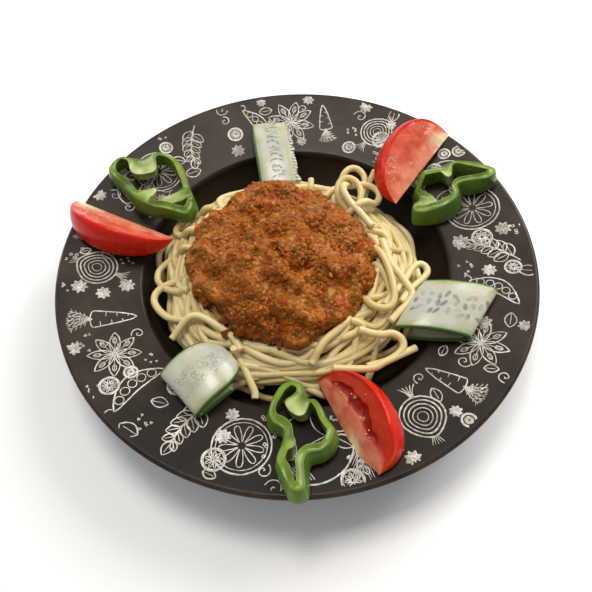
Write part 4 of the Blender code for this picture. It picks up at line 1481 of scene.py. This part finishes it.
@dataclass
class Tomato(Garnish):
    """A wedge of tomato that lies on one cut face: its core edge along X, its skin towards +Y."""

    length: float = 60.0
    radius: float = 26.0
    angle: float = 42.0
    chamber: Four = (0.0, 0.5, 0.0, 0.0)
    chamber_depth: float = 1.5
    stations: int = 110
    across: int = 34
    around: int = 18
    ripe: float = 0.5
    seeds: int = 0
    cream: Four = (0.35, 0.85, 1.5, 0.4)
    blush: tuple[Triple, ...] = ()
    curve: float = 0.0
    blunt: float = 0.45
    # How many drops of juice, painted pale as glints, stand on the upper cut face.
    glint_beads: int = 0

    def normal(self) -> Array:
        """The way out of the upper cut face."""
        return np.array([0.0, -math.sin(math.radians(self.angle)), math.cos(math.radians(self.angle))])

    def reach(self, x: Array) -> Array:
        """The wedge's radius at a share of its half length: blunt ends, and a little fuller towards +X."""
        power = np.where(x > 0, self.blunt, 0.45)
        return self.radius * np.maximum(1e-6, 1 - x * x) ** power * (1 + 0.05 * x)

    def placed(self, x: Array, out: Array, turn: Array) -> Array:
        """Places in the wedge, whose core edge curves away from its axis near +X.

        The skin's distance there is the fourth root of reach ** 4 + curve ** 4.

        Args:
            x: Shares of the half length.
            out: Shares of the way from the core to the skin.
            turn: Angles from the lower cut face, in radians.

        Returns:
            The places.
        """
        back = self.curve * ramp(x, 0.5, 1.0)
        middle = math.radians(self.angle) / 2
        r = ((self.reach(x) ** 4 + back**4) ** 0.25 - back) * out
        across = back * math.cos(middle) + r * np.cos(turn)
        return np.stack([x * self.length / 2, across, back * math.sin(middle) + r * np.sin(turn)], axis=-1)

    def hollow(self, x: Array, out: Array) -> Array:
        """How deep in the seed chamber a place of the cut face lies, from 0 to 1.

        The chamber is an ellipse whose edge wanders by two sines, and which bends away from the core.

        Args:
            x: Shares of the half length.
            out: Shares of the way from the core to the skin.

        Returns:
            The depth shares.
        """
        middle, at, long, wide = self.chamber
        if long == 0.0:
            return 0.0 * x
        wander = 0.03 * np.sin(11 * x + 1.0) + 0.018 * np.sin(27 * x)
        away = ((x - middle) / long) ** 2 + ((out - at - wander + 0.10 * (x - middle) ** 2) / wide) ** 2
        return ramp(away, 1.2, 0.45)

    def flesh(self) -> Piece:
        """The wedge: at each station, across one cut face, round the skin and back down the other."""
        stations = np.sin(np.linspace(-1, 1, self.stations) * math.pi / 2 * 0.992)
        a = math.radians(self.angle)
        sizes = (self.across, self.around, self.across - 1)
        across = np.linspace(0, 1, self.across)
        bend = np.linspace(0, 1, self.around + 2)[1:-1]
        share = np.concatenate([across, np.ones(self.around), across[::-1][:-1]])
        turn = np.concatenate([np.zeros(sizes[0]), bend, np.ones(sizes[2])]) * a
        x, s = np.meshgrid(stations, share, indexing="ij")
        turn = np.broadcast_to(turn, x.shape)
        face = np.repeat([0.0, 1.0, 2.0], sizes)[None] + 0 * x
        corners = np.exp(-((turn / 0.05) ** 2)) + np.exp(-(((a - turn) / 0.05) ** 2))
        grid = self.placed(x, s * (1 - 0.022 * corners * (s > 0.9)), turn)
        flat = grid.reshape(-1, 3)
        cut = (face == 2).ravel()
        sunk = self.hollow(x, s).ravel() * cut
        wavy = clouds(flat, 7.0, 71) * 0.5 + clouds(flat, 2.4, 72) * 0.22
        inside = ramp(s, 0.99, 0.90).ravel() * cut
        lower = self.chamber_depth * sunk + inside * (0.15 + wavy)
        grid = (flat - self.normal() * lower[:, None]).reshape(grid.shape)
        points, faces = lofted(grid, grid[[0, -1]].mean(axis=1))
        self.settle(flat)
        paint = self.tones(flat, x.ravel(), s.ravel(), sunk, (face == 1).ravel())
        ends = np.vstack([paint, paint[:1], paint[-1:]])
        return Piece(f"{self.node}_flesh", self.laid(points), faces, "tomato", ends, (self.node,))

    def tones(self, flat: Array, x: Array, s: Array, sunk: Array, skin: Array) -> Array:
        """The wedge's colours: salmon by the core, redder outwards, cream at the core's end, a red skin.

        Args:
            flat: The wedge's points.
            x: Their shares of the half length.
            s: Their shares of the way from the core to the skin.
            sunk: How deep they lie in the seed chamber.
            skin: Whether they lie on the skin.

        Returns:
            A colour for each point.
        """
        peel = mottled((200, 36, 12), (186, 24, 8), flat, 11.0, 73, 0.5)
        peel = mixed(peel, (200, 66, 24), 0.5 * ramp(x, 0.75, 1.0))
        patch = 0.5 + 0.7 * clouds(flat, 5.0, 74)
        pink = mixed((188, 86, 62), (206, 122, 94), patch)
        deep = mixed((172, 36, 16), (188, 56, 28), patch)
        inwards = ramp(s + 0.1 * clouds(flat, 4.0, 78), 0.62, 0.36)
        wall = mixed(deep, pink, self.ripe + (1 - self.ripe) * inwards)
        streaks = clouds(flat * (1.2, 0.3, 0.3), 1.6, 75)
        wall = mixed(wall, (206, 140, 108), 0.35 * ramp(streaks, 0.1, 0.8) * ramp(s, 0.7, 0.2))
        spots = ramp(clouds(flat * (0.7, 1, 1), 6.0, 76), 0.25, 0.7) * ramp(s, 0.25, 0.5) * ramp(s, 0.85, 0.7)
        wall = mixed(wall, (160, 30, 24), 0.8 * spots)
        wall = mixed(wall, (206, 144, 112), 0.55 * self.ripe * ramp(s, 0.45, 0.05))
        for at, out, size in self.blush:
            away = np.hypot(x - at, s - out + 0.08 * streaks) / size
            wall = mixed(wall, (178, 46, 38), 0.6 * np.exp(-(away**2)))
        start, full, gone, wide = self.cream
        core = ramp(s + 0.06 * streaks, wide, 0.35 * wide) * ramp(x + 0.1 * streaks, start, full)
        core *= ramp(x, gone + 0.25, gone)
        wall = mixed(wall, (218, 200, 158), 0.9 * core)
        wall = mixed(wall, (136, 14, 6), 0.9 * sunk)
        wall = mixed(wall, (196, 62, 48), 0.6 * ramp(s, 0.5, 0.85) * self.ripe)
        wall = mixed(wall, (188, 34, 14), ramp(s, 0.86, 0.97))
        return mixed(wall, peel, skin * 1.0)

    def seed_piece(self) -> Piece:
        """Flat seeds that lie in the chamber, with their points towards the core."""
        rng = default_rng(len(self.node))
        middle, at, long, wide = self.chamber
        t = np.linspace(-0.8, 0.25, self.seeds)
        x = middle + long * t + rng.normal(0, 0.03, self.seeds)
        out = at + wide * 0.5 * (np.arange(self.seeds) % 2 - 0.4) + rng.normal(0, 0.03, self.seeds)
        a = math.radians(self.angle)
        normal = self.normal()
        spots = self.placed(x, out, np.full(self.seeds, a))
        spots -= normal * (self.chamber_depth * self.hollow(x, out) + 0.15)[:, None]
        lean = rng.uniform(-0.7, 0.7, self.seeds)
        radial = np.array([0.0, math.cos(a), math.sin(a)])
        along = np.array([1.0, 0.0, 0.0])
        first = np.cos(lean)[:, None] * radial + np.sin(lean)[:, None] * along
        second = np.cross(normal, first)
        turns = np.stack([first, second, np.broadcast_to(normal, first.shape)], axis=2)
        sizes = np.array([1.55, 1.1, 0.5]) * rng.uniform(0.85, 1.15, (self.seeds, 1))
        points, faces = strewn(spots, sizes, turns, 5, 0.08)
        paint = mottled((170, 104, 56), (196, 142, 88), points, 1.5, 77, 0.5)
        return Piece(f"{self.node}_seeds", self.laid(points), [faces], "tomato", paint)

    def glint_bead_piece(self) -> Piece:
        """Small drops of juice that stand in clusters on the upper cut face, painted pale as glints: a
        painted highlight.
        """
        rng = default_rng(9 + len(self.node))
        cluster = rng.integers(0, 7, self.glint_beads)
        x = rng.uniform(-0.75, 0.75, 7)[cluster] + rng.normal(0, 0.07, self.glint_beads)
        out = rng.uniform(0.45, 0.8, 7)[cluster] + rng.normal(0, 0.06, self.glint_beads)
        spots = self.placed(x, out, np.full(self.glint_beads, math.radians(self.angle))) - 0.2 * self.normal()
        sizes = rng.uniform(0.16, 0.42, (self.glint_beads, 1)) * (1.0, 1.0, 0.8)
        points, faces = strewn(spots, sizes, random_turns(self.glint_beads, rng), 8, 0.1)
        # Painted highlight: the drops are painted a pale pink-white so that they show as glints on the wet
        # cut face.
        paint = np.tile(linear(232, 196, 180), (len(points), 1))
        return Piece(f"{self.node}_juice_glints", self.laid(points), [faces], "tomato", paint)

    def make(self, finish: bpy.types.Material) -> None:
        """Builds the wedge, its seeds and the juice drops on it that are painted as glints."""
        self.flesh().make(finish)
        if self.seeds:
            self.seed_piece().make(finish)
        if self.glint_beads:
            self.glint_bead_piece().make(finish)


@dataclass
class Pepper(Garnish):
    """A slice of green pepper: a wall along a closed outline, with ribs that point inwards."""

    outline: tuple[Pair, ...] = ()
    ribs: tuple[Triple, ...] = ()
    tall: float = 10.0
    flare: float = 1.04
    wall: float = 3.8
    lean: float = 2.2
    bevel: float = 1.7
    droop: float = 3.0
    fine: int = 1500
    places: int = 300
    full_rib: float = 5.0
    zones: tuple[int, ...] = (8, 12, 8, 6)

    def loops(self) -> tuple[Array, Array, Array]:
        """The slice's outer and inner loops, evenly spaced along both, and each place's rib share.

        A rib thickens the wall by its length times exp(-(distance / half width) ** 4).
        """
        count = self.fine
        edge = through(self.outline, count, closed=True)
        ahead = unit(np.roll(edge, -6, axis=0) - np.roll(edge, 6, axis=0))
        inward = np.column_stack([ahead[:, 1], -ahead[:, 0]])
        share = np.arange(count) / count
        length = np.linalg.norm(np.diff(np.vstack([edge, edge[:1]]), axis=0), axis=1).sum()
        rib = np.zeros(count)
        for at, reach, half in self.ribs:
            apart = np.abs((share - at + 0.5) % 1.0 - 0.5) * length
            rib += reach * np.exp(-((apart / half) ** 4))
        thick = self.wall * (1 + 0.28 * clouds(np.insert(edge, 2, 0, 1), 9.0, 88))
        inner = edge + inward * (thick + rib)[:, None]
        pace = [np.linalg.norm(np.roll(line, -1, axis=0) - line, axis=1) for line in (edge, inner)]
        along = np.concatenate([[0], np.cumsum(pace[0] + pace[1])])
        wanted = np.linspace(0, along[-1], self.places, endpoint=False)
        pick = np.interp(wanted, along, np.arange(count + 1)).astype(int) % count
        return edge[pick], inner[pick], rib[pick]

    def ring(self) -> Piece:
        """The slice: up the skin, over the cut top, down the inner wall and across the cut base."""
        outer, inner, rib = self.loops()
        skin, top, wall, base = self.zones
        q = np.concatenate(
            [np.zeros(skin), np.linspace(0.05, 0.95, top), np.ones(wall), np.linspace(0.95, 0.05, base)])
        up = np.concatenate(
            [np.linspace(0.03, 0.97, skin), np.ones(top), np.linspace(0.97, 0.03, wall), np.zeros(base)])
        zone = np.repeat([0.0, 1.0, 2.0, 3.0], self.zones)
        n = len(outer)
        spots = outer[:, None] * (1 - q)[None, :, None] + inner[:, None] * q[None, :, None]
        swell = 1 + (self.flare - 1) * (1 - up)[None, :, None]
        spots = spots * swell
        thick = unit(inner - outer)
        lean = self.lean * clouds(np.insert(outer, 2, 0, 1), 15.0, 89)
        spots = spots + (thick * lean[:, None])[:, None] * up[None, :, None]
        bulge = np.where(zone == 0, -0.5, np.where(zone == 2, -0.35, 0)) * np.sin(math.pi * up)
        spots = spots + thick[:, None] * bulge[None, :, None]
        height = np.broadcast_to(up * self.tall, (n, len(q))).copy()
        flat = np.column_stack([spots.reshape(-1, 2), height.ravel()])
        uneven = clouds(np.insert(outer, 2, 0, 1), 8.0, 87)
        bevel = self.bevel * (1 + 0.9 * uneven)[:, None] * (1 - q)[None]
        droop = self.droop * (np.clip(rib / self.full_rib, 0, 1) * (1 + 0.5 * uneven))[:, None] * q[None]
        flat[:, 2] -= ((bevel + droop) * up[None]).ravel()
        here = np.tile(zone, n)
        dent = np.tile(np.sin(math.pi * q), n)
        top = (here == 1)
        flat[:, 2] -= top * (0.35 * dent + 0.5 * (0.5 + 0.5 * clouds(flat, 5.0, 81)) * dent)
        wave = clouds(np.column_stack([flat[:, :2], 0 * flat[:, 0]]), 13.0, 82)
        flat[:, 2] += np.tile(up, n) * 0.9 * wave
        flat += (0.22 * clouds(flat, 3.5, 83) * (here == 2))[:, None] * np.repeat(
            np.insert(thick, 2, 0, 1), len(q), axis=0)
        across = np.tile(q, n)
        skin = mottled((58, 86, 22), (86, 116, 36), flat, 9.0, 84)
        meat = mottled((88, 114, 32), (122, 142, 56), flat, 4.0, 85)
        meat = mixed(meat, (68, 96, 26), 0.75 * ramp(across, 0.24, 0.06) * top)
        pale = np.repeat(np.clip(rib / self.full_rib, 0, 1), len(q)) * ramp(across, 0.15, 0.7)
        wall = mottled((80, 106, 26), (112, 134, 48), flat, 5.0, 86)
        paint = mixed(skin, meat, top * 1.0)
        paint = mixed(paint, wall, (here >= 2) * 1.0)
        pale = pale * (0.75 + 0.5 * clouds(flat, 3.5, 90))
        paint = mixed(paint, (178, 188, 130), 0.9 * pale * (here >= 1))
        self.settle(flat)
        faces = lattice(n, len(q), round_rows=True, round_columns=True)
        return Piece(f"{self.node}_ring", self.laid(flat), [faces], "green_pepper", paint, (self.node,))

    def make(self, finish: bpy.types.Material) -> None:
        """Builds the slice."""
        self.ring().make(finish)


class Peel(Enum):
    """Which long edges of a cucumber slice keep their skin."""

    BOTH = (1.0, 1.0)
    LEFT = (1.0, 0.0)


@dataclass
class Cucumber(Garnish):
    """A long thin slice of cucumber folded over: a strip that runs to its fold and back over itself."""

    width: float = 30.0
    skew: float = 0.0
    crown: float = 1.0
    tip: float = 0.0
    route: tuple[Pair, ...] = ()
    peel: Peel = Peel.BOTH
    seed_band: float = 0.5
    seed_size: float = 3.4
    ringed: bool = False
    notch_pitch: float = 2.1
    thick: float = 2.0
    fine: int = 2000
    along: int = 190
    across: int = 60

    def strip(self, along: int, across: int) -> Array:
        """The slice's middle surface: the route carried sideways, crowned, and narrowed to a round tip.

        Its rows stand closer on the upper layer, where the route ends.
        """
        share = (np.linspace(0, 1, along) ** 0.75)[:, None]
        fine = through(self.route, self.fine)
        path = fine[np.round(share[:, 0] * (self.fine - 1)).astype(int)]
        side = np.linspace(-0.5, 0.5, across)[None]
        past = np.maximum(0, share - 1 + self.tip) / self.tip if self.tip else 0 * share
        sideways = side * self.width * np.sqrt(1 - 0.8 * past**2)
        over = self.crown * (1 - (2 * side) ** 2) * share
        return np.stack([
            path[:, :1] + self.skew * sideways, sideways + 0 * share, path[:, 1:] + over], axis=-1)

    def seed_map(self, s: Array, t: Array, length: float) -> Array:
        """How much a place lies on a seed: long rounded seeds in rows along the middle of the slice.

        Args:
            s: Distances along the strip.
            t: Distances across it.
            length: The strip's length.

        Returns:
            1 in the middle of a seed, 0 off it, and below 0 on its rim.
        """
        rng = default_rng(int(self.width) + len(self.node))
        pace = self.seed_size * (1.35 if self.ringed else 1.0)
        count = int(length / pace) * 3
        rows = np.tile([-0.62, 0.0, 0.62], count // 3 + 1)[:count]
        at = (np.arange(count) // 3 + rng.uniform(0.1, 0.9, count)) * pace
        aside = (rows + rng.normal(0, 0.12, count)) * self.seed_band * self.width / 2
        lean = rng.normal(0, 0.5, count) + rows * 0.5
        made, rims = np.zeros(s.shape), np.zeros(s.shape)
        for k in range(count):
            ds, dt = s - at[k], t - aside[k]
            long = ds * math.sin(lean[k]) + dt * math.cos(lean[k])
            wide = ds * math.cos(lean[k]) - dt * math.sin(lean[k])
            away = np.hypot(long / (0.52 * self.seed_size), wide / (0.27 * self.seed_size))
            rims = np.maximum(rims, np.exp(-(((away - 1.15) / 0.36) ** 2)))
            made = np.maximum(made, ramp(away, 1.25, 0.6))
        return made - rims * (made < 0.4)

    def slice_(self) -> Piece:
        """The slice: the upper face across, round its edge, and the under face back, closed at both ends."""
        along, across = self.along, self.across
        middle = self.strip(along, across)
        normal = surface_normals(middle)
        side = np.linspace(-1, 1, across)
        half = self.thick / 2 * np.sqrt(1 - np.abs(side) ** 10)[None, :, None]
        s = np.concatenate([[0], np.cumsum(np.linalg.norm(np.diff(middle[:, across // 2], axis=0), axis=1))])
        length = s[-1]
        grid_s, grid_t = np.meshgrid(s, side * self.width / 2, indexing="ij")
        seeds = self.seed_map(grid_s, grid_t, length)
        ends = np.clip(np.minimum(s, length - s) / 0.7, 0.04, 1)[:, None, None] ** 0.5
        relief = (0.05 * np.clip(seeds, -0.5, 1))[..., None]
        swell = normal * (half + relief * (half > 0.4)) * ends
        upper, lower = middle + swell, middle - swell
        if self.peel is Peel.LEFT:
            jag = ramp(side, 0.75, 1.0)[None] * clouds(middle.reshape(-1, 3), 1.6, 91).reshape(along, across)
            upper[..., 1] += 1.3 * jag
            lower[..., 1] += 1.3 * jag
        loops = np.concatenate([upper, lower[:, -2:0:-1]], axis=1)
        count = loops.shape[1]
        a = np.arange(1, across - 2)
        end = np.column_stack([a, a + 1, count - a - 1, count - a])
        tips = np.array([[0, 1, count - 1], [across - 2, across - 1, across]])
        last = (along - 1) * count
        faces = [
            np.vstack([lattice(along, count, round_columns=True), end[:, ::-1], end + last]),
            np.vstack([tips[:, ::-1], tips + last])]
        t = np.concatenate([side, side[-2:0:-1]])
        u = np.broadcast_to(t, (along, count)).ravel()
        seeded = np.concatenate([seeds, seeds[:, -2:0:-1]], axis=1).ravel()
        points = loops.reshape(-1, 3)
        from_left, from_right = (1 + u) * self.width / 2, (1 - u) * self.width / 2
        left, right = self.peel.value
        near_skin = np.minimum(from_left + 99 * (1 - left), from_right + 99 * (1 - right))
        flesh = mottled((164, 159, 130), (186, 181, 158), points, 5.0, 92)
        flesh = mixed(flesh, (132, 150, 80), 0.7 * ramp(near_skin, 5.0, 1.6))
        gel = ramp(np.abs(u) + 0.10 * clouds(points, 3.0, 94), self.seed_band * 1.25, self.seed_band * 0.7)
        flesh = mixed(flesh, (160, 162, 148), 0.45 * gel)
        lobe, edge = np.clip(seeded, 0, 1), np.clip(-seeded, 0, 1)
        dark, light = (edge, 0.2 * lobe) if self.ringed else (lobe, 0.5 * edge)
        shown = gel * (0.35 + 0.65 * ramp(clouds(points, 4.5, 95), -0.35, 0.35))
        # Painted reflection: soft bluish-white patches stand in for a sheen of reflected light on the wet
        # flesh.
        flesh = mixed(flesh, (184, 194, 196), 0.3 * ramp(clouds(points, 9.0, 97), 0.0, 0.6))
        flesh = mixed(flesh, (92, 98, 82), 0.75 * dark * shown)
        flesh = mixed(flesh, (186, 188, 172), 0.6 * light * gel)
        if self.peel is Peel.LEFT:
            rows = np.broadcast_to(s[:, None], (along, count)).ravel() / self.notch_pitch
            notch = ramp(np.sin(TURN * (rows + 0.3 * clouds(points, 4.0, 96))), 0.1, 0.7)
            flesh = mixed(flesh, (72, 78, 84), 0.95 * notch * ramp(u, 0.74, 0.80))
            flesh = mixed(flesh, (172, 174, 100), 0.5 * np.exp(-(((u - 0.62) / 0.09) ** 2)))
        veins = ramp(clouds(points, 1.1, 93), 0.45, 0.9)
        flesh = mixed(flesh, (200, 202, 186), 0.3 * veins)
        paint = mixed(flesh, (48, 76, 20), ramp(near_skin, 2.1, 1.0))
        self.settle(points)
        return Piece(f"{self.node}_slice", self.laid(points), faces, "cucumber", paint, (self.node,))

    def make(self, finish: bpy.types.Material) -> None:
        """Builds the slice."""
        self.slice_().make(finish)


def garnishes() -> tuple[list[Tomato], list[Pepper], list[Cucumber]]:
    """Everything that lies round the rim."""
    tomatoes = [
        Tomato(
            "tomato_left", -96.5, 32.5, 154, length=63, radius=25, angle=42, ripe=0.7, glint_beads=14),
        Tomato(
            "tomato_upper_right", 80, 55, 53, length=68, radius=28, angle=42, ripe=0.6, glint_beads=90,
            cream=(0.42, 0.78, 1.5, 0.52), blush=((-0.09, 0.45, 0.14), (0.22, 0.45, 0.12))),
        Tomato(
            "tomato_bottom_right", 17, -98, -71, length=57, radius=26.5, angle=43,
            chamber=(-0.08, 0.53, 0.80, 0.125), ripe=0.0, seeds=3, curve=5.5, blunt=0.28, glint_beads=8,
            cream=(0.0, 0.35, 0.42, 0.26)),
    ]
    peppers = [
        Pepper(
            "pepper_upper_left", -82.5, 51.5, 0, tall=9.5, flare=1.03,
            outline=((-18, 23), (-7, 20.5), (4, 25), (14, 18), (20, 8), (23, -4), (27, -14), (22, -23),
                     (11, -20), (1, -18.5), (-8, -12), (-17, 0), (-24, 8), (-25, 16)),
            ribs=((0.08, 7, 5.0), (0.40, 17, 2.8), (0.71, 9, 4.5))),
        Pepper(
            "pepper_right", 90, 36, 0, tall=13, flare=1.07,
            outline=((-10, 16), (0, 17), (9, 17.5), (19, 14), (26, 10), (29, 5.5), (25, 1), (16, -0.5),
                     (9.5, 0), (9, -5), (5, -11), (-1, -14.5), (-9, -15), (-18, -13), (-19, -8),
                     (-15.5, -3), (-17, 3), (-14, 10)),
            ribs=((0.11, 5, 3.5), (0.83, 7, 2.6))),
        Pepper(
            "pepper_bottom", -2.5, -105, 0, tall=10, flare=1.05,
            outline=((-2, 30), (3, 27), (5, 20), (9, 17), (13, 8), (17, 1), (15, -6), (10, -10), (4, -12),
                     (3, -20), (2, -26), (-2, -28), (-6, -26), (-9, -19), (-11, -12), (-9, -4), (-8, 3),
                     (-13, 7), (-15, 14), (-12, 23), (-8, 28)),
            ribs=((0.09, 7, 2.6), (0.71, 2, 3.0))),
    ]
    cucumbers = [
        Cucumber(
            "cucumber_top", -11, 103, -84, width=24, skew=0.12, crown=1.5, peel=Peel.LEFT,
            seed_band=0.34,
            route=((44, 1.5), (30, -0.5), (15, -1), (4, 0), (0, 1.8), (0.8, 4), (5, 6.5), (17, 9),
                   (32, 8.5), (50, 5))),
        Cucumber(
            "cucumber_right", 94.5, -45, 167, width=31, skew=0.45, seed_size=4.6,
            route=((31, 1.5), (22, 0.5), (10, 0), (3, 0.5), (0, 2.5), (2.5, 5.0), (12, 9.0), (24, 11.5),
                   (36, 11.5))),
        Cucumber(
            "cucumber_bottom_left", -60, -78, 40, width=31, crown=2.5, tip=0.30, seed_size=2.2,
            seed_band=0.40, ringed=True,
            route=((22, 2), (14, 1), (6, 0), (1.5, 0.5), (0, 2.2), (1.5, 4.5), (8, 8), (16, 9.5),
                   (24, 8.5), (31, 5.5))),
    ]
    return tomatoes, peppers, cucumbers


# -------- studio


@dataclass
class Lamp:
    """A soft square lamp that points at the dish."""

    name: str
    spot: Triple
    size: float
    power: float
    colour: Triple = (1.0, 1.0, 1.0)

    def make(self) -> None:
        """Hangs the lamp."""
        light = bpy.data.lights.new(self.name, "AREA")
        light.shape = "SQUARE"
        light.size = self.size
        light.energy = self.power
        light.color = self.colour
        made = bpy.data.objects.new(self.name, light)
        made.location = self.spot
        made.rotation_euler = Vector(self.spot).to_track_quat("Z", "Y").to_euler()
        bpy.context.scene.collection.objects.link(made)


@dataclass
class Studio:
    """A pale floor, soft lamps and the camera, which looks down from the eater's side."""

    lens: float = 35.06
    spot: Triple = (0.0, -0.1848, 0.2978)
    right: Triple = (0.9981, -0.0516, -0.0336)
    up: Triple = (0.0615, 0.8525, 0.5192)
    lamps: tuple[Lamp, ...] = (
        Lamp("window", (0.95, 0.85, 1.0), 0.9, 22.0, (1.0, 0.98, 0.95)),
        Lamp("ceiling", (-0.1, 0.30, 1.35), 0.45, 10.0, (1.0, 0.95, 0.87)),
        Lamp("sky", (-1.0, 0.75, 0.42), 0.7, 4.0, (0.66, 0.80, 1.0)),
    )

    def floor(self) -> None:
        """Lays a wide pale floor with a faint mottle, as a grid."""
        mesh = bpy.data.meshes.new("floor")
        line = np.linspace(-2.5, 2.5, 11)
        gx, gy = np.meshgrid(line, line, indexing="ij")
        spots = np.stack([gx, gy, 0 * gx], axis=-1).reshape(-1, 3)
        mesh.from_pydata(spots.tolist(), [], lattice(11, 11).tolist())
        made = bpy.data.objects.new("floor", mesh)
        bpy.context.scene.collection.objects.link(made)
        mesh.materials.append(Finish(
            "floor_paper", linear(240, 240, 240), roughness=0.9, mottle=0.01, grain=0.02, grain_pitch=0.002,
            specular=0.1).make())

    def camera(self) -> None:
        """Sets up the camera from its right and up directions."""
        right, up = Vector(self.right).normalized(), Vector(self.up).normalized()
        back = right.cross(up)
        view = Matrix((right, up, back)).transposed().to_4x4()
        view.translation = Vector(self.spot)
        data = bpy.data.cameras.new("camera")
        data.lens = self.lens
        data.sensor_width = 36.0
        made = bpy.data.objects.new("camera", data)
        made.matrix_world = view
        bpy.context.scene.collection.objects.link(made)
        bpy.context.scene.camera = made

    def make(self) -> None:
        """Builds the floor, lamps, world and camera."""
        self.floor()
        for lamp in self.lamps:
            lamp.make()
        world = bpy.data.worlds.new("studio")
        world.use_nodes = True
        world.node_tree.nodes["Background"].inputs["Color"].default_value = (1.0, 1.0, 1.0, 1.0)
        world.node_tree.nodes["Background"].inputs["Strength"].default_value = 0.45
        bpy.context.scene.world = world
        self.camera()
        bpy.context.scene.view_settings.view_transform = "Standard"


def main() -> None:
    """Builds the dish and the studio."""
    logging.basicConfig(level=logging.INFO, format="%(message)s")
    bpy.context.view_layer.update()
    Studio().make()
    plate = Plate()
    plate.make()
    Nest(plate).make()
    Sauce().make()
    tomatoes, peppers, cucumbers = garnishes()
    wet_tomato = Finish(
        "tomato_flesh", painted=True, roughness=0.26, rough_spread=0.1, mottle=0.08, mottle_pitch=0.002,
        grain=0.2, grain_pitch=0.0009, flesh=0.12, flesh_depth=(0.004, 0.0012, 0.0006), specular=0.12,
        coat=0.14, coat_roughness=0.07).make()
    waxy_pepper = Finish(
        "pepper_flesh", painted=True, roughness=0.28, rough_spread=0.1, mottle=0.10, mottle_pitch=0.0025,
        grain=0.15, grain_pitch=0.0006, flesh=0.1, flesh_depth=(0.0016, 0.0022, 0.0006), specular=0.2,
        coat=0.16, coat_roughness=0.09).make()
    wet_cucumber = Finish(
        "cucumber_flesh", painted=True, roughness=0.22, rough_spread=0.1, mottle=0.05, mottle_pitch=0.002,
        grain=0.12, grain_pitch=0.0005, flesh=0.3, flesh_depth=(0.003, 0.003, 0.002), specular=0.28,
        coat=0.1, coat_roughness=0.15).make()
    for group, finish in ((tomatoes, wet_tomato), (peppers, waxy_pepper), (cucumbers, wet_cucumber)):
        for thing in group:
            thing.make(finish)


if __name__ == "__main__":
    main()
